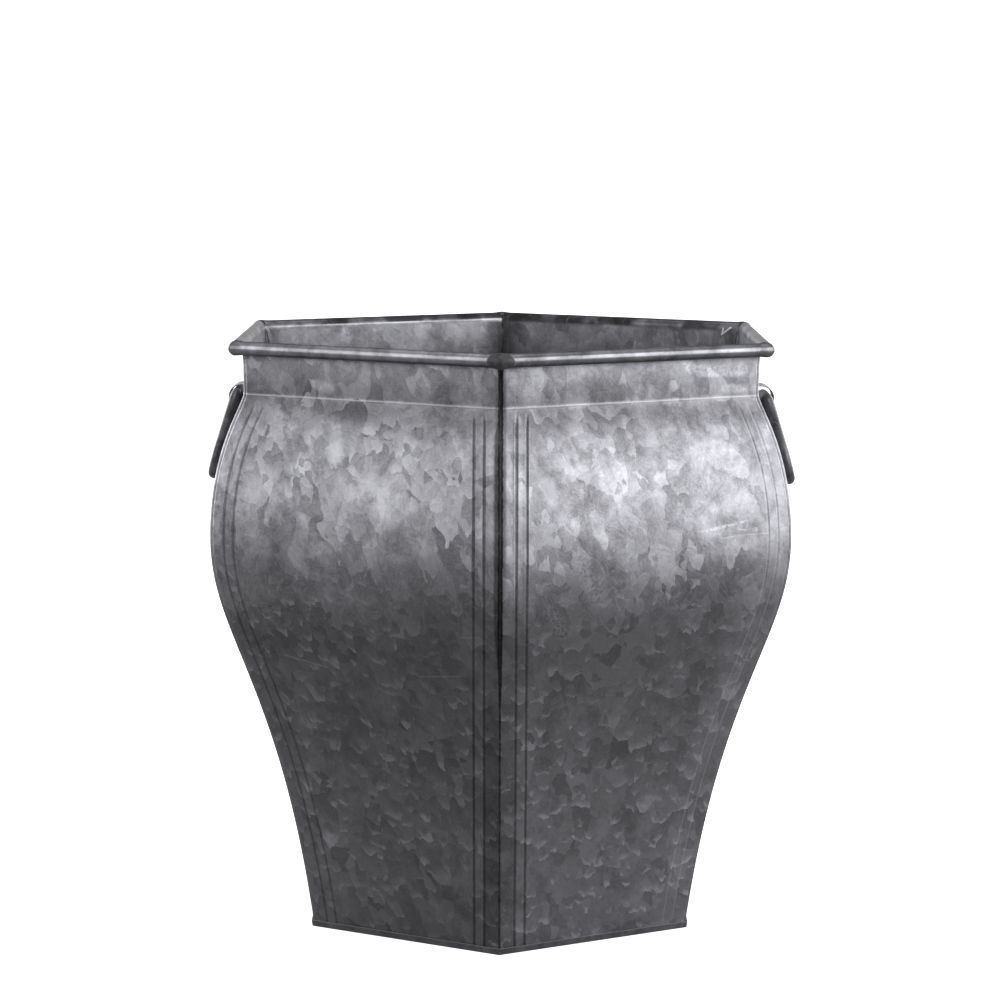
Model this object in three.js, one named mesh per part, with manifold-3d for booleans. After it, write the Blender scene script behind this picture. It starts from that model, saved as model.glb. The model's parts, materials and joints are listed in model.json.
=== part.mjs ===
// Hexagonal zinc florist bucket with two drop handles.
// Millimetres, +Z up, origin on the ground under the centre of the foot.
// One upright corner faces -Y, and the handles hang on the +X and -X walls.

import * as THREE from 'three';
import { mergeVertices } from 'three/addons/utils/BufferGeometryUtils.js';
import Module from 'manifold-3d';

const wasm = await Module();
wasm.setup();

// Walls and upright corners, counter-clockwise from above: each corner follows its wall
const wall_names = ['right', 'back_right', 'back_left', 'left', 'front_left', 'front_right'];
const corner_names = ['back_right', 'back', 'back_left', 'front_left', 'front', 'front_right'];

// Overall form. The crease between neck and belly gives its height above the ground and the
// radius out to the sharp upright corners, and the rest of the body is set out from there.
const crease_height = 365;
const crease_corner_radius = 196;
const neck_height = 35;
const shoulder_height = 93.5;
const mouth_flare = 1;
const belly_swell = 25.3;
const foot_inset = 50.1;

// Side curve: slopes, and the reach of each curve handle as a share of its stretch's height
const crease_slope = 0.25;
const foot_slope = 0.15;
const shoulder_top_share = 0.11;
const shoulder_low_share = 0.6;
const taper_top_share = 0.25;
const taper_low_share = 0.645;

// Sheet, and the clearance kept between pieces that touch
const wall_sheet = 0.8;
const clearance = 0.3;
const overrun = 5;

// Crown of each wall between its two corners, at its fullest height
const belly_bow = 2;
const bow_power = 1.5;

// Edge of a wall, turned in beside each upright corner
const edge_turn_width = 4.5;
const edge_turn_depth = 2.6;
const edge_outer_shares = [[0.5, 0.23], [1, 0]];
const edge_inner_shares = [[0.64, 0.12], [1.1, 0]];

// Pressed grooves along the upright edges, with their distance from the corner
const groove_offsets = [11.4, 19];
const groove_width = 2.6;
const groove_depth = 0.8;
const groove_start_drop = 3;
const groove_fade_length = 14;

// Rolled rim around its wire, and the solder on its corners
const rim_wire_diameter = 6.8;
const rim_roll_end_degrees = -130;
const rim_cap_leg = 11;
const rim_cap_thickness = 0.6;
const rim_cap_start_degrees = -95;
const rim_cap_end_degrees = 150;
const rim_cap_station_shares = [-1, -0.55, 0, 0.55, 1];
const rim_cap_swell_shares = [0.3, 0.9, 1, 0.9, 0.3];

// Solder in the notch of each upright corner
const seam_half_width_share = 0.5;
const seam_thickness = 0.9;

// Base pan with its flange lapped up outside the walls, and the solder inside it
const pan_sheet = 0.7;
const pan_flange_height = 4.5;
const base_solder_leg = 4;

// Drop handle: a closed ring of round bar, and where it lies in its strap's loop
const bar_diameter = 8.5;
const ring_drop = 55;
const ring_top_half_width = 24;
const ring_bottom_half_width = 51;
const ring_top_bend = 9;
const ring_bottom_bend = 15;
const bar_clearance = 0.5;
const bar_seat = { left: 45, right: -8 };

// Strap that holds the handle: a saddle with a foot on the neck and a foot on the belly
const strap_sheet = 0.9;
const strap_width = 22;
const strap_upper_foot = 17;
const strap_lower_foot = 16;
const strap_top_drop = 0.8;
const loop_reach = 17.4;
const loop_inner_radius = 7.9;
const loop_height = 13;
const loop_low_bend = 4.5;
const strap_foot_bend = 1.8;

// Rivet through each foot of a strap
const rivet_shank_diameter = 4;
const rivet_head_diameter = 8.4;
const rivet_head_height = 2.2;
const rivet_tail_diameter = 7;
const rivet_tail_height = 1.4;

// Facet counts
const taper_steps = 9;
const shoulder_steps = 6;
const roll_steps = 9;
const cap_arc_steps = 6;
const wire_sides = 12;
const bar_sides = 8;
const ring_steps = 56;
const bend_steps = 5;
const rivet_sides = 12;
const dome_steps = 3;

// Colours
const zinc = { color: 0x8b8b91, roughness: 0.42, metalness: 0.85 };
const pan_zinc = { color: 0x7c7c82, roughness: 0.5, metalness: 0.85 };
const solder = { color: 0x4a4a50, roughness: 0.6, metalness: 0.7 };
const dark_solder = { color: 0x1e1e22, roughness: 0.7, metalness: 0.5 };
const wire_steel = { color: 0x77777c, roughness: 0.5, metalness: 0.9 };
const bar_steel = { color: 0x47484c, roughness: 0.4, metalness: 0.8 };
const strap_zinc = { color: 0x9c9ca2, roughness: 0.38, metalness: 0.85 };

// Plan of the hexagon
const side_count = wall_names.length;
const side_angle = 2 * Math.PI / side_count;
const half_side_angle = side_angle / 2;
const side_cos = Math.cos(half_side_angle);
const side_sin = Math.sin(half_side_angle);
const side_tan = Math.tan(half_side_angle);
const quarter_turn = Math.PI / 2;

// Sizes that follow from the ones above
const rim_top_height = crease_height + neck_height;
const widest_height = crease_height - shoulder_height;
const mouth_corner_radius = crease_corner_radius + mouth_flare;
const widest_corner_radius = crease_corner_radius + belly_swell;
const foot_corner_radius = crease_corner_radius - foot_inset;
const wall_foot_height = pan_sheet + clearance;
const rim_roll_radius = rim_wire_diameter / 2 + clearance + wall_sheet;
const rim_centre_height = rim_top_height - rim_roll_radius;
const rim_centre_distance = mouth_corner_radius * side_cos - wall_sheet + rim_roll_radius;
const neck_full_height = rim_centre_height - 2 * rim_roll_radius;
const bar_radius = bar_diameter / 2;

const degrees = (angle) => THREE.MathUtils.degToRad(angle);
const point = (x, y) => new THREE.Vector2(x, y);

function material(look) {
  return new THREE.MeshStandardMaterial({ ...look, side: THREE.FrontSide });
}

// Side curve of the body, from the foot up to the crease, as corner radius against height
const taper_height = widest_height - wall_foot_height;

const taper_curve = new THREE.CubicBezierCurve(
  point(foot_corner_radius, wall_foot_height),
  point(foot_corner_radius + foot_slope * taper_low_share * taper_height,
    wall_foot_height + taper_low_share * taper_height),
  point(widest_corner_radius, widest_height - taper_top_share * taper_height),
  point(widest_corner_radius, widest_height),
);

const shoulder_curve = new THREE.CubicBezierCurve(
  point(widest_corner_radius, widest_height),
  point(widest_corner_radius, widest_height + shoulder_low_share * shoulder_height),
  point(crease_corner_radius + crease_slope * shoulder_top_share * shoulder_height,
    crease_height - shoulder_top_share * shoulder_height),
  point(crease_corner_radius, crease_height),
);

function neckRadius(height) {
  const share = (height - crease_height) / (rim_centre_height - crease_height);
  return crease_corner_radius + share * (mouth_corner_radius - crease_corner_radius);
}

// Stations up a wall, in the plane square to it: x is the distance of its outer face from the axis
function bodyStations() {
  const curve_points = [
    ...taper_curve.getPoints(taper_steps),
    ...shoulder_curve.getPoints(shoulder_steps).slice(1),
    point(neckRadius(neck_full_height), neck_full_height),
  ];
  return curve_points.map((spot) => ({ x: spot.x * side_cos, z: spot.y, turn: 1 }));
}

// The roll starts on the side of its wire that faces the axis, goes over the top and ends below
function rollStations() {
  const inner_radius = rim_roll_radius - wall_sheet;
  const stations = [];
  for (let step = 0; step <= roll_steps; step += 1) {
    const angle = THREE.MathUtils.lerp(Math.PI, degrees(rim_roll_end_degrees), step / roll_steps);
    stations.push({
      x: rim_centre_distance + inner_radius * Math.cos(angle),
      z: rim_centre_height + inner_radius * Math.sin(angle),
      nx: -Math.cos(angle),
      nz: -Math.sin(angle),
      turn: 0,
    });
  }
  return stations;
}

function addNormals(stations) {
  stations.forEach((station, index) => {
    if (station.nx !== undefined) return;
    const before = stations[Math.max(index - 1, 0)];
    const after = stations[Math.min(index + 1, stations.length - 1)];
    const run = Math.hypot(after.x - before.x, after.z - before.z);
    station.nx = (after.z - before.z) / run;
    station.nz = (before.x - after.x) / run;
  });
  return stations;
}

const wall_stations = addNormals([...bodyStations(), ...rollStations()]);

function grooveFade(height) {
  const below = crease_height - groove_start_drop - height;
  return THREE.MathUtils.clamp(below / groove_fade_length, 0, 1);
}

function bowAt(height) {
  if (height >= crease_height) return 0;
  return belly_bow * Math.sin(Math.PI * height / crease_height) ** bow_power;
}

// Columns across half a wall, from its edge to its middle. On each face a column has
// across, its distance from the mitre plane, and turn_depth, how far the turned edge takes it in.
function column([outer_across, outer_depth], [inner_across, inner_depth], press = 0) {
  return {
    outer: { across: outer_across, turn_depth: outer_depth },
    inner: { across: inner_across, turn_depth: inner_depth },
    press,
    side: -1,
  };
}

function edgeColumns() {
  const scaled = ([across_share, depth_share]) => [
    across_share * edge_turn_width, depth_share * edge_turn_depth];
  const end = column(
    [clearance, edge_turn_depth],
    [clearance + wall_sheet, edge_turn_depth - wall_sheet],
  );
  const turned = edge_outer_shares.map((share, index) => (
    column(scaled(share), scaled(edge_inner_shares[index]))));
  return [end, ...turned];
}

function grooveColumns(offset) {
  const half = groove_width / 2;
  return [
    column([offset - half, 0], [offset - half, 0]),
    column([offset, 0], [offset, 0], groove_depth),
    column([offset + half, 0], [offset + half, 0]),
  ];
}

const half_columns = [...edgeColumns(), ...groove_offsets.flatMap(grooveColumns)];
const middle_column = { ...column([0, 0], [0, 0]), side: 0 };
const mirrored_columns = half_columns.map((one) => ({ ...one, side: 1 })).reverse();
const wall_columns = [...half_columns, middle_column, ...mirrored_columns];

// Spot on a wall, with +X outward. The roll of the rim has neither turned edges nor grooves.
function wallPoint(station, column_at, face) {
  const spot = column_at[face];
  const sheet_depth = face === 'inner' ? wall_sheet : 0;
  const pressed = column_at.press * grooveFade(station.z);
  const depth = sheet_depth + pressed + spot.turn_depth * station.turn;
  const x_flat = station.x - station.nx * depth;
  const rolled_across = column_at.outer.across;
  const across = rolled_across + (spot.across - rolled_across) * station.turn;
  const half_width = x_flat * side_tan;
  const y = column_at.side * (half_width - across);
  const bow = bowAt(station.z) * (1 - (y / half_width) ** 2);
  return [x_flat + bow, y, station.z - station.nz * depth];
}

// A closed skin over two matching grids of points, the outer face and the inner face of a sheet
function sheetGeometry(rows, columns, placePoint) {
  const positions = [];
  const indices = [];
  const at = (face, row, column) => (face * rows + row) * columns + column;
  for (const face of ['outer', 'inner']) {
    for (let row = 0; row < rows; row += 1) {
      for (let column = 0; column < columns; column += 1) {
        positions.push(...placePoint(row, column, face));
      }
    }
  }
  const quad = (a, b, c, d) => indices.push(a, b, c, a, c, d);
  for (let row = 0; row + 1 < rows; row += 1) {
    for (let column = 0; column + 1 < columns; column += 1) {
      quad(at(0, row, column), at(0, row, column + 1), at(0, row + 1, column + 1), at(0, row + 1, column));
      quad(at(1, row, column), at(1, row + 1, column), at(1, row + 1, column + 1), at(1, row, column + 1));
    }
    const last = columns - 1;
    quad(at(0, row, 0), at(0, row + 1, 0), at(1, row + 1, 0), at(1, row, 0));
    quad(at(0, row + 1, last), at(0, row, last), at(1, row, last), at(1, row + 1, last));
  }
  for (let column = 0; column + 1 < columns; column += 1) {
    const last = rows - 1;
    quad(at(0, 0, column + 1), at(0, 0, column), at(1, 0, column), at(1, 0, column + 1));
    quad(at(0, last, column), at(0, last, column + 1), at(1, last, column + 1), at(1, last, column));
  }
  const geometry = new THREE.BufferGeometry();
  geometry.setAttribute('position', new THREE.Float32BufferAttribute(positions, 3));
  geometry.setIndex(indices);
  return geometry;
}

// A closed skin through rings of points that all have the same count, capped at both ends.
// outline is a ring laid flat, counter-clockwise as seen from where the rings lead.
function loftGeometry(rings, outline) {
  const count = outline.length;
  const positions = rings.flat().flatMap((spot) => [spot.x, spot.y, spot.z]);
  const indices = [];
  for (let ring = 0; ring + 1 < rings.length; ring += 1) {
    for (let index = 0; index < count; index += 1) {
      const a = ring * count + index;
      const b = ring * count + (index + 1) % count;
      indices.push(a, b, b + count, a, b + count, a + count);
    }
  }
  const last = (rings.length - 1) * count;
  for (const [a, b, c] of THREE.ShapeUtils.triangulateShape(outline, [])) {
    indices.push(a, c, b, last + a, last + b, last + c);
  }
  const geometry = new THREE.BufferGeometry();
  geometry.setAttribute('position', new THREE.Float32BufferAttribute(positions, 3));
  geometry.setIndex(indices);
  return geometry;
}

// Boolean cuts
function toSolid(geometry) {
  const bare = geometry.clone();
  bare.deleteAttribute('normal');
  bare.deleteAttribute('uv');
  const merged = mergeVertices(bare);
  return new wasm.Manifold(new wasm.Mesh({
    numProp: 3,
    vertProperties: Float32Array.from(merged.attributes.position.array),
    triVerts: Uint32Array.from(merged.index.array),
  }));
}

function toGeometry(manifold) {
  const mesh = manifold.getMesh();
  const positions = Float32Array.from(mesh.vertProperties);
  const geometry = new THREE.BufferGeometry();
  geometry.setAttribute('position', new THREE.BufferAttribute(positions, 3));
  geometry.setIndex(new THREE.BufferAttribute(Uint32Array.from(mesh.triVerts), 1));
  return geometry;
}

function drilled(geometry, holes) {
  return toGeometry(holes.reduce((body, hole) => body.subtract(toSolid(hole)), toSolid(geometry)));
}

function named(name, geometry, look) {
  const mesh = new THREE.Mesh(geometry, material(look));
  mesh.name = name;
  return mesh;
}

// Outer face of a wall's middle at a height, and its outward direction there
function wallFace(height) {
  const upper = Math.max(wall_stations.findIndex((station) => station.z >= height), 1);
  const [low, high] = [wall_stations[upper - 1], wall_stations[upper]];
  const share = (height - low.z) / (high.z - low.z);
  const low_x = low.x + bowAt(low.z);
  const high_x = high.x + bowAt(high.z);
  const run = Math.hypot(high_x - low_x, high.z - low.z);
  return {
    spot: point(low_x + share * (high_x - low_x), height),
    normal: point((high.z - low.z) / run, (low_x - high_x) / run),
  };
}

// An open line with a round bend at each inner corner
function bentLine(corners, radii) {
  const line = [corners[0]];
  for (let index = 1; index + 1 < corners.length; index += 1) {
    const corner = corners[index];
    const back = corners[index - 1].clone().sub(corner).normalize();
    const ahead = corners[index + 1].clone().sub(corner).normalize();
    const half = Math.acos(THREE.MathUtils.clamp(back.dot(ahead), -1, 1)) / 2;
    const radius = radii[index - 1];
    const inward = back.clone().add(ahead).normalize();
    const middle = corner.clone().addScaledVector(inward, radius / Math.sin(half));
    const start = corner.clone().addScaledVector(back, radius / Math.tan(half)).sub(middle);
    const side = Math.sign(back.cross(ahead));
    const sweep = (Math.PI - 2 * half) * side;
    for (let step = 0; step <= bend_steps; step += 1) {
      const turned = start.clone().rotateAround(point(0, 0), -sweep * step / bend_steps);
      line.push(turned.add(middle));
    }
  }
  line.push(corners[corners.length - 1]);
  return line;
}

function offsetLine(line, distance) {
  return line.map((spot, index) => {
    const before = line[Math.max(index - 1, 0)];
    const after = line[Math.min(index + 1, line.length - 1)];
    const along = after.clone().sub(before).normalize();
    return point(spot.x - along.y * distance, spot.y + along.x * distance);
  });
}

// Strap: its sizes in the plane square to the wall
const strap_top_height = crease_height - strap_top_drop - strap_sheet / 2;
const strap_out_distance = crease_corner_radius * side_cos + loop_reach - strap_sheet / 2;
const loop_mid_radius = loop_inner_radius + strap_sheet / 2;
const loop_centre = point(strap_out_distance - loop_mid_radius, strap_top_height - loop_mid_radius);
const strap_bottom_height = strap_top_height - loop_height - strap_sheet;

const upper_rivet_height = strap_top_height + strap_upper_foot / 2 + strap_foot_bend;
const lower_rivet_height = strap_bottom_height - strap_lower_foot / 2;
const upper_seat = wallFace(upper_rivet_height);
const lower_seat = wallFace(lower_rivet_height);

// Where a line laid on a seat, one clearance and half a strap off the wall, passes a height
function footSpot(seat, height) {
  const off = seat.spot.clone().addScaledVector(seat.normal, clearance + strap_sheet / 2);
  const share = (height - off.y) / seat.normal.x;
  return point(off.x - share * seat.normal.y, height);
}

const strap_line = bentLine([
  footSpot(upper_seat, strap_top_height + strap_upper_foot),
  footSpot(upper_seat, strap_top_height),
  point(strap_out_distance, strap_top_height),
  point(strap_out_distance, strap_bottom_height),
  footSpot(lower_seat, strap_bottom_height),
  footSpot(lower_seat, strap_bottom_height - strap_lower_foot),
], [strap_foot_bend, loop_mid_radius, loop_low_bend, strap_foot_bend]);

function strapBlank() {
  const half = strap_sheet / 2;
  const outline = [...offsetLine(strap_line, half), ...offsetLine(strap_line, -half).reverse()];
  const blank = new THREE.ExtrudeGeometry(new THREE.Shape(outline), {
    depth: strap_width, bevelEnabled: false, steps: 1,
  });
  blank.translate(0, 0, -strap_width / 2);
  blank.rotateX(quarter_turn);
  return blank;
}

// A turned piece is drawn along the Y axis and then laid along a seat's outward direction
function layOnSeat(geometry, seat) {
  geometry.rotateZ(-quarter_turn + Math.atan2(seat.normal.y, seat.normal.x));
  geometry.rotateX(quarter_turn);
  geometry.translate(seat.spot.x, 0, seat.spot.y);
  return geometry;
}

function rivetHole(seat) {
  const radius = rivet_shank_diameter / 2 + clearance;
  return layOnSeat(new THREE.CylinderGeometry(radius, radius, 2 * overrun, rivet_sides), seat);
}

function rivetGeometry(seat) {
  const shank = rivet_shank_diameter / 2;
  const head = rivet_head_diameter / 2;
  const tail = rivet_tail_diameter / 2;
  const tail_top = -wall_sheet - clearance;
  const head_base = clearance + strap_sheet + clearance;
  const outline = [
    point(0, tail_top - rivet_tail_height),
    point(tail, tail_top - rivet_tail_height),
    point(tail, tail_top),
    point(shank, tail_top),
    point(shank, head_base),
    point(head, head_base),
  ];
  for (let step = 1; step <= dome_steps; step += 1) {
    const angle = quarter_turn * step / dome_steps;
    const out = step === dome_steps ? 0 : head * Math.cos(angle);
    outline.push(point(out, head_base + rivet_head_height * Math.sin(angle)));
  }
  return layOnSeat(new THREE.LatheGeometry(outline, rivet_sides), seat);
}

// Centre line of a handle ring, hanging straight down from its bar at the origin
function ringLine() {
  const corners = [
    point(-ring_top_half_width, 0),
    point(ring_top_half_width, 0),
    point(ring_bottom_half_width, -ring_drop),
    point(-ring_bottom_half_width, -ring_drop),
  ];
  const bends = [ring_top_bend, ring_top_bend, ring_bottom_bend, ring_bottom_bend];
  const spots = corners.flatMap((corner, index) => {
    const before = corners.at(index - 1);
    const after = corners[(index + 1) % corners.length];
    return bentLine([before, corner, after], [bends[index]]).slice(1, -1);
  });
  const upright = spots.map((spot) => new THREE.Vector3(0, spot.x, spot.y));
  const line = new THREE.CurvePath();
  upright.forEach((spot, index) => {
    line.add(new THREE.LineCurve3(spot, upright[(index + 1) % upright.length]));
  });
  return line;
}

function ringGeometry() {
  return new THREE.TubeGeometry(ringLine(), ring_steps, bar_radius, bar_sides, true);
}

// Lean at which a hanging ring just clears the wall below its bar
function restLean(bar) {
  const keep_off = bar_radius + clearance;
  const lowest = bar.y - ring_drop;
  const leans = wall_stations
    .map((station) => wallFace(station.z).spot)
    .filter((spot) => spot.y < bar.y - keep_off && spot.y > lowest)
    .map((spot) => {
      const reach = point(spot.x - bar.x, bar.y - spot.y);
      return Math.atan2(reach.x, reach.y) + Math.asin(keep_off / reach.length());
    });
  return Math.max(...leans);
}

// Lean at which a raised ring comes to rest against the rolled rim
function raisedLean(bar) {
  const keep_off = bar_radius + rim_roll_radius + clearance;
  const reach = point(rim_centre_distance - bar.x, rim_centre_height - bar.y);
  return Math.PI - Math.atan2(reach.x, reach.y) - Math.asin(keep_off / reach.length());
}

function barSpot(side) {
  const slack = loop_inner_radius - bar_radius - bar_clearance;
  const angle = degrees(bar_seat[side]);
  return point(loop_centre.x + slack * Math.cos(angle), loop_centre.y + slack * Math.sin(angle));
}

// The walls that hold a handle are drilled for its rivets
function wallBlank() {
  return sheetGeometry(wall_stations.length, wall_columns.length,
    (row, column, face) => wallPoint(wall_stations[row], wall_columns[column], face));
}

function makeWalls() {
  const holes = [upper_seat, lower_seat].map(rivetHole);
  return wall_names.map((name, index) => {
    const geometry = name in bar_seat ? drilled(wallBlank(), holes) : wallBlank();
    const wall = named(`wall_${name}`, geometry, zinc);
    wall.rotation.z = index * side_angle;
    return wall;
  });
}

// Depth below the sharp corner of a spot on a wall's turned edge, and its distance aside
function notchSpot(across, depth) {
  const from_corner = across + depth * side_tan;
  return point(from_corner * side_cos - depth * side_sin, from_corner * side_sin + depth * side_cos);
}

function makeSeam(corner) {
  const root = notchSpot(clearance, edge_turn_depth);
  const [crest_across, crest_depth] = edge_outer_shares[0];
  const crest = notchSpot(crest_across * edge_turn_width, crest_depth * edge_turn_depth);
  const slant = Math.hypot(crest.x - root.x, crest.y - root.y);
  const lift = clearance * slant / (crest.x - root.x);
  const fall = (root.y - crest.y) / (crest.x - root.x);
  const half_width = seam_half_width_share * crest.x;
  const side_depth = root.y - (half_width - root.x) * fall - lift;
  const root_depth = root.y - lift;
  const section = [
    point(0, root_depth),
    point(-half_width, side_depth),
    point(0, root_depth - seam_thickness),
    point(half_width, side_depth),
  ];
  const stations = wall_stations.filter((station) => station.turn === 1);
  const rings = stations.map((station) => section.map((spot) => new THREE.Vector3(
    station.x / side_cos - station.nx * spot.y, spot.x, station.z - station.nz * spot.y)));
  const outline = section.map((spot) => point(-spot.y, spot.x));
  return named(`corner_seam_${corner}`, loftGeometry(rings, outline), dark_solder);
}

// Solder cap: a C-shaped band over the rolled rim, running a short way down both sides of a corner
const cap_inner_radius = rim_roll_radius + clearance;

function capArc(radius) {
  const arc = [];
  for (let step = 0; step <= cap_arc_steps; step += 1) {
    const share = step / cap_arc_steps;
    const angle = degrees(THREE.MathUtils.lerp(rim_cap_start_degrees, rim_cap_end_degrees, share));
    arc.push(point(radius * Math.cos(angle), radius * Math.sin(angle)));
  }
  return arc;
}

function capSection(swell_share) {
  const outer = capArc(cap_inner_radius + rim_cap_thickness * swell_share);
  return [...outer, ...capArc(cap_inner_radius).reverse()];
}

// Spot of a cap's section, share of the leg's length away from the corner's mitre
function capSpot(spot, share) {
  const out = rim_centre_distance + spot.x;
  const mitre = (share === 0 ? out : rim_centre_distance) * side_tan;
  const laid = point(out, Math.abs(share) * rim_cap_leg - mitre);
  laid.rotateAround(point(0, 0), half_side_angle);
  return new THREE.Vector3(laid.x, -Math.sign(share) * laid.y, rim_centre_height + spot.y);
}

function makeRimCap(corner) {
  const rings = rim_cap_station_shares.map((share, index) => (
    capSection(rim_cap_swell_shares[index]).map((spot) => capSpot(spot, share))));
  return named(`rim_corner_${corner}`, loftGeometry(rings, capSection(1)), solder);
}

// A hexagonal piece is turned with one step to a side, so that its corners are sharp
function hexTurned(outline) {
  const geometry = new THREE.LatheGeometry(outline, side_count);
  geometry.rotateX(quarter_turn);
  return geometry;
}

function makeRimWire() {
  const radius = rim_wire_diameter / 2;
  const outline = [];
  for (let side = 0; side <= wire_sides; side += 1) {
    const angle = 2 * Math.PI * (side % wire_sides) / wire_sides;
    outline.push(point(
      (rim_centre_distance + radius * Math.cos(angle)) / side_cos,
      rim_centre_height + radius * Math.sin(angle),
    ));
  }
  return named('rim_wire', hexTurned(outline), wire_steel);
}

function makeBasePan() {
  const wall_off = clearance / side_cos;
  const sheet_off = pan_sheet / side_cos;
  const rise = pan_flange_height - wall_foot_height;
  const inner_low = foot_corner_radius + wall_off;
  const inner_high = inner_low + rise * foot_slope;
  const outer_low = inner_low + sheet_off - wall_foot_height * foot_slope;
  const outline = [
    point(0, 0),
    point(outer_low, 0),
    point(inner_high + sheet_off, pan_flange_height),
    point(inner_high, pan_flange_height),
    point(inner_low, pan_sheet),
    point(0, pan_sheet),
  ];
  return named('base_pan', hexTurned(outline), pan_zinc);
}

// Solder laid in the angle between the walls and the pan, to make the bucket hold water
function makeBaseSolder() {
  const edge_room = notchSpot(clearance + wall_sheet, edge_turn_depth).y;
  const out = foot_corner_radius - edge_room - clearance;
  const outline = [
    point(out, wall_foot_height),
    point(out, wall_foot_height + base_solder_leg),
    point(out - base_solder_leg, wall_foot_height),
    point(out, wall_foot_height),
  ];
  return named('base_solder', hexTurned(outline), solder);
}

// The parts of one handle are made for the +X wall and turned half way round for the other
function makeHandle(side) {
  const group = new THREE.Group();
  group.rotation.z = side === 'left' ? Math.PI : 0;
  const seats = { upper: upper_seat, lower: lower_seat };
  const holes = Object.values(seats).map(rivetHole);
  group.add(named(`handle_strap_${side}`, drilled(strapBlank(), holes), strap_zinc));
  for (const [place, seat] of Object.entries(seats)) {
    group.add(named(`strap_rivet_${side}_${place}`, rivetGeometry(seat), strap_zinc));
  }
  const bar = barSpot(side);
  const ring = named(`handle_ring_${side}`, ringGeometry(), bar_steel);
  ring.position.set(bar.x, 0, bar.y);
  ring.rotation.y = -restLean(bar);
  group.add(ring);
  return group;
}

function makeCorner(corner, index) {
  const group = new THREE.Group();
  group.rotation.z = index * side_angle + half_side_angle;
  group.add(makeSeam(corner), makeRimCap(corner));
  return group;
}

const bucket = new THREE.Group();
bucket.add(makeBasePan(), makeBaseSolder(), ...makeWalls(), makeRimWire());
bucket.add(...corner_names.map(makeCorner));
bucket.add(...Object.keys(bar_seat).map(makeHandle));

// Hinge line of each handle, and how far it swings from hanging to lying on the rim
for (const side of Object.keys(bar_seat)) {
  const bar = barSpot(side);
  const [rest, raised] = [restLean(bar), raisedLean(bar)].map(THREE.MathUtils.radToDeg);
  console.log(`${side} handle: bar at ${bar.x.toFixed(2)}, ${bar.y.toFixed(2)}; `
    + `leans ${rest.toFixed(1)} to ${raised.toFixed(1)} degrees`);
}

export default bucket;
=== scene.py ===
import json
import math

import bpy
import numpy as np
from mathutils import Euler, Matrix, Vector


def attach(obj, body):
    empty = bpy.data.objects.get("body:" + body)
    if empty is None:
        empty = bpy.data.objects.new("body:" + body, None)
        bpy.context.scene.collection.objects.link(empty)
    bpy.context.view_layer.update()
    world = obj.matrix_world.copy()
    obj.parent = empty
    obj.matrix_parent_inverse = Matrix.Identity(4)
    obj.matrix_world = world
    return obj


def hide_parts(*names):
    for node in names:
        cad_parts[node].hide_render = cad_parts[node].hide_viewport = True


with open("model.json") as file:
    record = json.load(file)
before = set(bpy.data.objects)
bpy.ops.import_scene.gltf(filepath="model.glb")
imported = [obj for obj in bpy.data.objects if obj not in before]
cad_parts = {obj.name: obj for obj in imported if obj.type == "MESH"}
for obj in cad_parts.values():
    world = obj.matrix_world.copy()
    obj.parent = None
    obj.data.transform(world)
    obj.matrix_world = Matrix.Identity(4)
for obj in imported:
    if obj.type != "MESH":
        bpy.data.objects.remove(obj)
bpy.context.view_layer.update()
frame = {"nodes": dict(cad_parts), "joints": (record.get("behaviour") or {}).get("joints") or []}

# Walls. Six panels pressed from galvanised sheet: an upright neck, a crease, a full belly and a
# long taper to the foot. Each has two grooves beside either corner and edges turned in to form
# the corner notches. Its top edge is rolled outward around the rim wire.
mm = 0.001
wall_names = ["right", "back_right", "back_left", "left", "front_left", "front_right"]
side_angle = 2 * math.pi / len(wall_names)
side_cos, side_sin, side_tan = (f(side_angle / 2) for f in (math.cos, math.sin, math.tan))

rim_top_height, crease_height, widest_height, foot_height = 400.0, 365.0, 271.5, 1.0
mouth_radius, crease_radius, widest_radius, foot_radius = 197.0, 196.0, 221.3, 145.9
wall_sheet = 0.8
rim_wire_radius = 3.4
clearance = 0.3
roll_radius = rim_wire_radius + clearance + wall_sheet
roll_height = rim_top_height - roll_radius
roll_distance = mouth_radius * side_cos - wall_sheet + roll_radius
roll_end_angle = math.radians(-130)
neck_top_height = roll_height - 2 * roll_radius
crease_bead_height, crease_bead_width = 0.3, 0.7
belly_bow = 2.0
skin_inset = 0.14  # keeps the wavy skin inside the solid's own outline

# How far each end of the body's two curves holds its direction, as a share of the curve's height.
foot_pull, foot_flare, belly_pull_down = 0.645, 0.15, 0.25
belly_pull_up, crease_pull, crease_flare = 0.6, 0.11, 0.25


def bezier(start, start_handle, end_handle, end, steps=400):
    t = np.linspace(0, 1, steps + 1)[:, None]
    parts = [(1 - t) ** 3, 3 * (1 - t) ** 2 * t, 3 * (1 - t) * t * t, t ** 3]
    return sum(w * np.array(p) for w, p in zip(parts, (start, start_handle, end_handle, end)))


def smooth_step(low, high, value):
    t = np.clip((value - low) / (high - low), 0, 1)
    return t * t * (3 - 2 * t)


taper = widest_height - foot_height
shoulder = crease_height - widest_height
body_curve = np.vstack([
    bezier((foot_radius, foot_height),
           (foot_radius + foot_flare * foot_pull * taper, foot_height + foot_pull * taper),
           (widest_radius, widest_height - belly_pull_down * taper), (widest_radius, widest_height)),
    bezier((widest_radius, widest_height), (widest_radius, widest_height + belly_pull_up * shoulder),
           (crease_radius + crease_flare * crease_pull * shoulder, crease_height - crease_pull * shoulder),
           (crease_radius, crease_height))[1:],
    [(mouth_radius, roll_height)],
])


def corner_radius(height):
    """How far the outer skin's upright corner is from the axis."""
    return np.interp(height, body_curve[:, 1], body_curve[:, 0]) - skin_inset


def bow_at(height):
    """How far the middle of a wall bows out from flat."""
    inside = np.clip(height / crease_height, 0, 1)
    return belly_bow * np.sin(np.pi * inside) ** 1.5


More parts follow.
